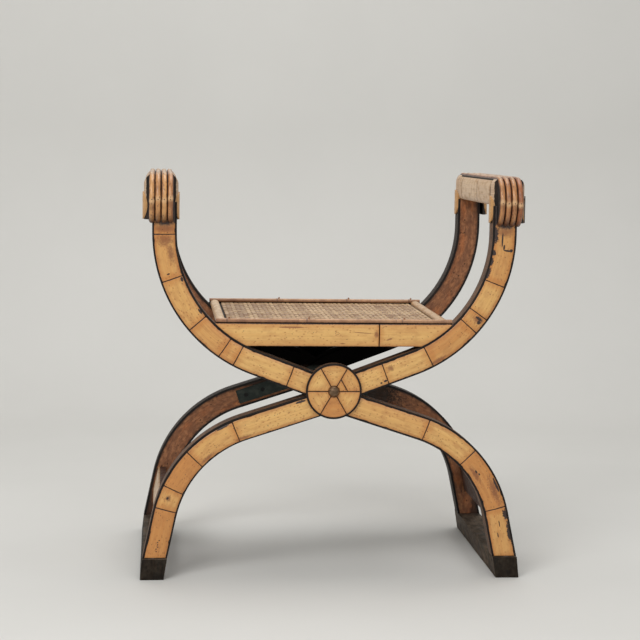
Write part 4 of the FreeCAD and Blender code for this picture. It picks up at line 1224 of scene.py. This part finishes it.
for face in FRAMES:
    node = f"{face}_seat_pole"
    low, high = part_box(node)
    centre = (low + high) / 2
    # Painted shade along the underside of each pole
    underside_shade = Mark((0, centre.y, low.z), POLE_SHADE_SIZE, 0.0, 0.8, 0.3)
    finish = bamboo_finish(f"{face} pole bamboo", srgb(204, 160, 116), srgb(152, 102, 66), srgb(104, 64, 40),
                           share=0.12, grime_and_gap_shade=0.0, warm=0.4, bands=POLE_NODES[face], band_width=POLE_BAND,
                           band_colour=srgb(92, 56, 36), burns_and_shade=[underside_shade])
    runs = line_runs((0, centre.y, centre.z), (1, 0, 0), (0, 0, 1), [low.x, high.x], [0.4],
                     bumps(POLE_NODES[face], POLE_SWELL, POLE_NODE_WIDTH))
    runs += [stub_run(centre, x, 0.8) for x in POLE_NODES[face]]
    piece = swept(f"{face}_seat_pole_culm", runs, finish, Width=high.z - low.z, Height=(high.z - low.z) / 2,
                  Squareness=2.0, Points=POLE_POINTS, Sweep=POLE_SWEEP)
    settle(piece, "pole_bamboo", node)

# %% [markdown]
# ## The woven mat
# The seat is covered with flat strips woven two over and two under. A texture would look flat from the
# side, so every strip is a real one: it rises over two crossing strips and dives under the next two, and
# each row starts one step later than the row before.

# %% One strip of the mat
STRIP_PITCH = 8.4 * MM
STRIP_SHARE = 0.82
STRIP_THICK = 0.9 * MM
WEAVE_LIFT = 0.55 * MM
FLOAT_LENGTH = 2
SAMPLES = 3
GRAIN_SHIFT = 0.7
MAT_TONES = random.Random(11)


def weave_level(row, crossing):
    """Plus one where the strip of this row lies over a crossing strip, minus one where it lies under."""
    return 1 if (row + crossing) % (2 * FLOAT_LENGTH) < FLOAT_LENGTH else -1


def mat_run(row, rows, crossings, pitches, middle, along_x):
    """Run of one strip, sampled at and beside each crossing; pitches are those across and along the strip."""
    tone = MAT_TONES.uniform(0.05, 0.95)
    sideways = (row - (rows - 1) / 2) * pitches[0]
    spots = []
    for sample in range(crossings * SAMPLES):
        crossing = sample // SAMPLES
        along = ((sample + 0.5) / SAMPLES - crossings / 2) * pitches[1]
        level = weave_level(row, crossing) if along_x else -weave_level(crossing, row)
        height = middle.z + level * WEAVE_LIFT - STRIP_THICK / 2
        x, y = (along, sideways) if along_x else (sideways, along)
        spots.append(Spot(Vector((x, y, height)), (0, 0, 1), along + row * GRAIN_SHIFT, tone, 1.0, 1.0))
    return spots


# %% Weave the mat
low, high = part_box("seat_mat")
mat_middle = (low + high) / 2
columns, rows = round((high.x - low.x) / STRIP_PITCH), round((high.y - low.y) / STRIP_PITCH)
pitch_x, pitch_y = (high.x - low.x) / columns, (high.y - low.y) / rows
runs = [mat_run(row, rows, columns, (pitch_y, pitch_x), mat_middle, True) for row in range(rows)]
runs += [mat_run(column, columns, rows, (pitch_x, pitch_y), mat_middle, False) for column in range(columns)]
mat = swept("woven_seat_mat", runs, MAT_FINISH, Width=STRIP_SHARE * min(pitch_x, pitch_y),
            Height=STRIP_THICK, Squareness=3.5, Points=6)
settle(mat, "woven_mat", "seat_mat")

# %% [markdown]
# ## Flat bamboo plates
# The boss is faced with six sectors of flattened culm and the aprons with two long strips. Their outlines
# aren't sweeps, so each is a plate built from its outline: a wall, a small rounded edge and a face. The
# plates carry the same strip and rim values as the sweeps, so that they take the same finish.

# %% Outlines
RIM_REACH = 12 * MM


def inset(outline, distance):
    """Outline moved inwards by a small distance; outlines run anticlockwise."""
    moved = []
    for index, point in enumerate(outline):
        before, after = outline[index - 1], outline[(index + 1) % len(outline)]
        first, second = (point - before).normalized(), (after - point).normalized()
        bisector = Vector((-first.y - second.y, first.x + second.x)).normalized()
        moved.append(point + bisector * distance / bisector.dot(Vector((-first.y, first.x))))
    return moved


def edge_distance(outline, point):
    """Distance from a point to an outline."""
    nearest = RIM_REACH
    for start, end in zip(outline, outline[1:] + outline[:1]):
        way = end - start
        part = min(max((point - start).dot(way) / way.length_squared, 0.0), 1.0)
        nearest = min(nearest, (point - start - way * part).length)
    return nearest


# %% Walls and face of a plate
PLATE_EDGE = 0.6 * MM
PLATE_GRID = 3 * MM
CUT_REACH = 0.001 * MM


def plate_walls(build, outline, back_y, thick, way):
    """Back, wall and rounded edge of a plate; returns its front face."""
    rings = []
    for reach, depth in ((0.0, 0.0), (0.0, thick - PLATE_EDGE), (0.3 * PLATE_EDGE, thick - 0.3 * PLATE_EDGE),
                         (PLATE_EDGE, thick)):
        ring = inset(outline, reach)
        rings.append([build.verts.new((point.x, back_y + way * depth, point.y)) for point in ring])
    count = len(outline)
    for lower, upper in zip(rings, rings[1:]):
        for i in range(count):
            j = (i + 1) % count
            build.faces.new((lower[i], lower[j], upper[j], upper[i]))
    build.faces.new(list(reversed(rings[0])))
    return build.faces.new(rings[-1])


def grid_cut(build, face, outline):
    """Cuts the front face into small squares, so that its points can carry values."""
    cuts = []
    for axis, way in ((0, Vector((1, 0, 0))), (1, Vector((0, 0, 1)))):
        values = [point[axis] for point in outline]
        count = int((max(values) - min(values)) / PLATE_GRID)
        cuts += [(way * (min(values) + PLATE_GRID * (i + 0.5)), way) for i in range(count)]
    parts = [face, *face.edges, *face.verts]
    for place, way in cuts:
        made = bmesh.ops.bisect_plane(build, geom=parts, plane_co=place, plane_no=way, dist=CUT_REACH)
        parts = made["geom"]


# %% Plate from an outline
def plate_mesh(outline, back_y, thick, way, grain, tone, crown=0.0):
    """Plate with its strip, rim and ends values; grain is its fibres' direction, crown its rounding."""
    build = bmesh.new()
    strip_layer = build.verts.layers.float_vector.new("strip")
    rim_layer, ends_layer = build.verts.layers.float.new("rim"), build.verts.layers.float.new("ends")
    grid_cut(build, plate_walls(build, outline, back_y, thick, way), outline)
    bmesh.ops.recalc_face_normals(build, faces=build.faces)
    heights = [point.y for point in outline]
    middle, reach = (max(heights) + min(heights)) / 2, (max(heights) - min(heights)) / 2
    for vertex in build.verts:
        point = Vector((vertex.co.x, vertex.co.z))
        if abs(vertex.co.y - back_y) > thick / 2:
            vertex.co.y += way * crown * (1 - ((point.y - middle) / reach) ** 2)
        vertex[strip_layer] = (point.dot(grain), point.dot(Vector((-grain.y, grain.x))), tone)
        vertex[ends_layer] = edge_distance(outline, point)
        vertex[rim_layer] = 1 - vertex[ends_layer] / RIM_REACH
    mesh = bpy.data.meshes.new("plate")
    build.to_mesh(mesh)
    build.free()
    return mesh


def plate_piece(name, plates, finish):
    """Object made of several plates."""
    build = bmesh.new()
    for plate in plates:
        mesh = plate_mesh(*plate)
        build.from_mesh(mesh)
        bpy.data.meshes.remove(mesh)
    whole = bpy.data.meshes.new(name)
    build.to_mesh(whole)
    build.free()
    whole.materials.append(finish)
    return smooth(new_object(name, whole))


# %% Boss sectors
SECTORS = 6
SECTOR_R = 45.5 * MM
SECTOR_SPLIT_R = 24 * MM
ARC_STEPS = 12
SECTOR_TONES = (0.4, 0.3, 0.15, 0.3, 0.85, 0.3)


def on_circle(radius, angle):
    return Vector((radius * math.cos(angle), radius * math.sin(angle)))


def sector_outlines(index):
    """Outline of a sector, or of the two halves of the one that is cut across."""
    step = 2 * math.pi / SECTORS
    start, end = index * step, (index + 1) * step
    apex = on_circle(JOINT_GAP / 2 / math.sin(step / 2), (start + end) / 2)
    swing = math.asin(JOINT_GAP / 2 / SECTOR_R)
    arc_step = (end - start - 2 * swing) / ARC_STEPS
    arc = [on_circle(SECTOR_R, start + swing + arc_step * i) for i in range(ARC_STEPS + 1)]
    if index:
        return [[apex] + arc]
    middle = (start + end) / 2
    cut_in, cut_out = SECTOR_SPLIT_R - JOINT_GAP / 2, SECTOR_SPLIT_R + JOINT_GAP / 2
    first = [apex, on_circle(cut_in, start + swing), on_circle(cut_in, end - swing)]
    second = [on_circle(cut_out, start + swing)] + arc + [on_circle(cut_out, end - swing)]
    return [first, second]


for face, way in FRAMES.items():
    node = f"{face}_boss_facing"
    low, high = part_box(node)
    back_y = high.y if way < 0 else low.y
    plates = []
    for index, tone in enumerate(SECTOR_TONES):
        angle = (index + 0.5) * 2 * math.pi / SECTORS
        for outline in sector_outlines(index):
            placed = [point + Vector((0, (low.z + high.z) / 2)) for point in outline]
            plates.append((placed, back_y, high.y - low.y, way, on_circle(1, angle + math.pi / 2), tone))
    settle(plate_piece(f"{face}_boss_sectors", plates, FACING_FINISH), "bamboo", node)

# %% Apron facings
APRON_JOINT_X = 78 * MM
APRON_TONES = (0.25, 0.3)
APRON_END_POINTS = 7
arm_centre = Vector(ARM.at(ARM.straight, -ARM.radius))


def apron_end(height):
    """Half length of the apron at a height, where the arm's inner edge stops it."""
    return arm_centre.x + math.sqrt((ARM.radius - LIMB_WIDTH / 2) ** 2 - (arm_centre.y - height) ** 2)


for face, way in FRAMES.items():
    node = f"{face}_apron_facing"
    low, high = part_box(node)
    heights = [low.z + (high.z - low.z) * i / (APRON_END_POINTS - 1) for i in range(APRON_END_POINTS)]
    right_end = [Vector((apron_end(height), height)) for height in heights]
    left_end = [Vector((-point.x, point.y)) for point in reversed(right_end)]
    cut = APRON_JOINT_X
    left = left_end + [Vector((cut - JOINT_GAP / 2, low.z)), Vector((cut - JOINT_GAP / 2, high.z))]
    right = [Vector((cut + JOINT_GAP / 2, high.z)), Vector((cut + JOINT_GAP / 2, low.z))] + right_end
    back_y = high.y if way < 0 else low.y
    plates = [(outline, back_y, high.y - low.y, way, Vector((1, 0)), tone, FACING_CROWN)
              for outline, tone in zip((left, right), APRON_TONES)]
    settle(plate_piece(f"{face}_apron_strips", plates, APRON_FINISH), "bamboo", node)

# %% [markdown]
# ## Worn wooden pieces
# Painted and handled wood has no knife-sharp edge. The solids of these pieces have the right shape but
# crisp edges, so each gets a merged copy with a small bevel, which catches the light as the real edges do.

# %% Soften edges
SOFT_ANGLE = 30
MERGE = 0.01 * MM
FLAT_ANGLE = 0.5


def softened(node, width, finish, slot):
    """Copy of a solid with bevelled edges, in place of the solid."""
    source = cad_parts[node]
    build = bmesh.new()
    build.from_mesh(source.data)
    bmesh.ops.remove_doubles(build, verts=build.verts, dist=MERGE)
    flat = math.radians(FLAT_ANGLE)
    bmesh.ops.dissolve_limit(build, angle_limit=flat, verts=build.verts, edges=build.edges)
    mesh = bpy.data.meshes.new(f"{node}_worn")
    build.to_mesh(mesh)
    build.free()
    mesh.materials.append(finish)
    piece = new_object(f"{node}_worn", mesh)
    bevel = piece.modifiers.new("worn edge", "BEVEL")
    bevel.width = width
    bevel.segments = 3
    bevel.limit_method = "ANGLE"
    bevel.angle_limit = math.radians(SOFT_ANGLE)
    piece.data = baked(piece)
    piece.modifiers.clear()
    smooth(piece, SOFT_ANGLE)
    return settle(piece, slot, node)


# %% Worn runners, stretchers, cheeks, discs and laths
DISC_WEAR = 0.8 * MM
LATH_WEAR = 0.5 * MM
SIDE_WEAR = {"runner": (6.0 * MM, RUNNER_FINISH, "runner_wood"),
             "stretcher": (1.2 * MM, STRETCHER_FINISH, "limb_wood"),
             "scroll_cheeks": (0.8 * MM, CHEEK_FINISH, "dark_wood")}

for side in SIDES:
    for part, wear in SIDE_WEAR.items():
        softened(f"{side}_{part}", *wear)
for face in FRAMES:
    softened(f"{face}_boss_disc", DISC_WEAR, DISC_FINISH, "dark_wood")
    for side in SIDES:
        softened(f"{face}_limb_{side}_edges", LATH_WEAR, LATH_FINISH, "dark_wood")

# %% [markdown]
# ## Floor, light and camera
# The bench stands on a plain pale floor that curves up into a backdrop. Soft light comes from above and
# from the front left, with an even fill all round, so colours show about as they are written. The camera
# has the photograph's place and lens, found by fitting the bench's main lines.

# %% Finish and profile of the floor
FLOOR_HALF = 4.0
FLOOR_FRONT = -6.0
BACK_Y = 2.2
BACK_R = 0.8
BACK_TOP = 4.0
STAGE_STEPS = 16


def stage_finish():
    material, tree, shader = new_finish("pale stage")
    grain = cloud(tree, object_place(tree), 3.0, 4.0)
    colour = tint(tree, grain, srgb(207, 206, 202), srgb(213, 212, 208))
    tree.links.new(colour, shader.inputs["Base Color"])
    shader.inputs["Roughness"].default_value = 0.8
    return material


def stage_profile():
    """Floor, quarter round and wall, as Y and Z."""
    points = [(FLOOR_FRONT, 0.0)]
    for i in range(STAGE_STEPS + 1):
        turn = math.pi / 2 * i / STAGE_STEPS
        points.append((BACK_Y - BACK_R + BACK_R * math.sin(turn), BACK_R - BACK_R * math.cos(turn)))
    return points + [(BACK_Y, BACK_TOP)]


# %% Floor and backdrop
profile = stage_profile()
vertices = [(x, y, z) for y, z in profile for x in (-FLOOR_HALF, FLOOR_HALF)]
faces = [(2 * i, 2 * i + 1, 2 * i + 3, 2 * i + 2) for i in range(len(profile) - 1)]
stage_mesh = bpy.data.meshes.new("stage")
stage_mesh.from_pydata(vertices, [], faces)
stage_mesh.materials.append(stage_finish())
stage = smooth(new_object("stage", stage_mesh))
print("stage", len(faces), "faces")


# %% Soft studio light
def soft_lamp(name, place, target, size, power):
    """Square lamp of a size in metres and a power in watts, turned to a target."""
    lamp = bpy.data.lights.new(name, "AREA")
    lamp.size = size
    lamp.energy = power
    holder = new_object(name, lamp)
    holder.location = place
    holder.rotation_euler = (Vector(target) - Vector(place)).to_track_quat("-Z", "Y").to_euler()


AIM = (0.0, 0.0, 0.4)
soft_lamp("key", (-1.8, -2.6, 2.8), AIM, 1.8, 70)
soft_lamp("fill", (1.0, -3.4, 2.0), AIM, 1.6, 22)
soft_lamp("top", (0.2, 0.6, 3.2), AIM, 2.0, 36)

world = bpy.data.worlds.new("even light")
world.use_nodes = True
background = world.node_tree.nodes["Background"].inputs
background["Color"].default_value = (1.0, 0.99, 0.97, 1.0)
background["Strength"].default_value = 0.45
bpy.context.scene.world = world
print("lamps aim at", AIM, "and the sky has strength", background["Strength"].default_value)

# %% Camera
IMAGE_WIDTH = 640
FOCAL_PIXELS = 1761.3
SENSOR = 36.0
YAW, PITCH, ROLL = math.radians(5.258), math.radians(5.785), math.radians(-0.875)
CAMERA_PLACE = Vector((-0.3029, -3.2102, 0.7613))

ahead = Vector((math.sin(YAW) * math.cos(PITCH), math.cos(YAW) * math.cos(PITCH), -math.sin(PITCH)))
level = Vector((math.cos(YAW), -math.sin(YAW), 0))
down = ahead.cross(level)
right_way = level * math.cos(ROLL) + down * math.sin(ROLL)
down_way = down * math.cos(ROLL) - level * math.sin(ROLL)
camera = new_object("camera", bpy.data.cameras.new("camera"))
camera.data.sensor_width = SENSOR
camera.data.lens = FOCAL_PIXELS * SENSOR / IMAGE_WIDTH
turned = Matrix((right_way, -down_way, -ahead)).transposed().to_4x4()
camera.matrix_world = Matrix.Translation(CAMERA_PLACE) @ turned
bpy.context.scene.camera = camera
bpy.context.scene.view_settings.view_transform = "Standard"
print("lens", round(camera.data.lens, 2))
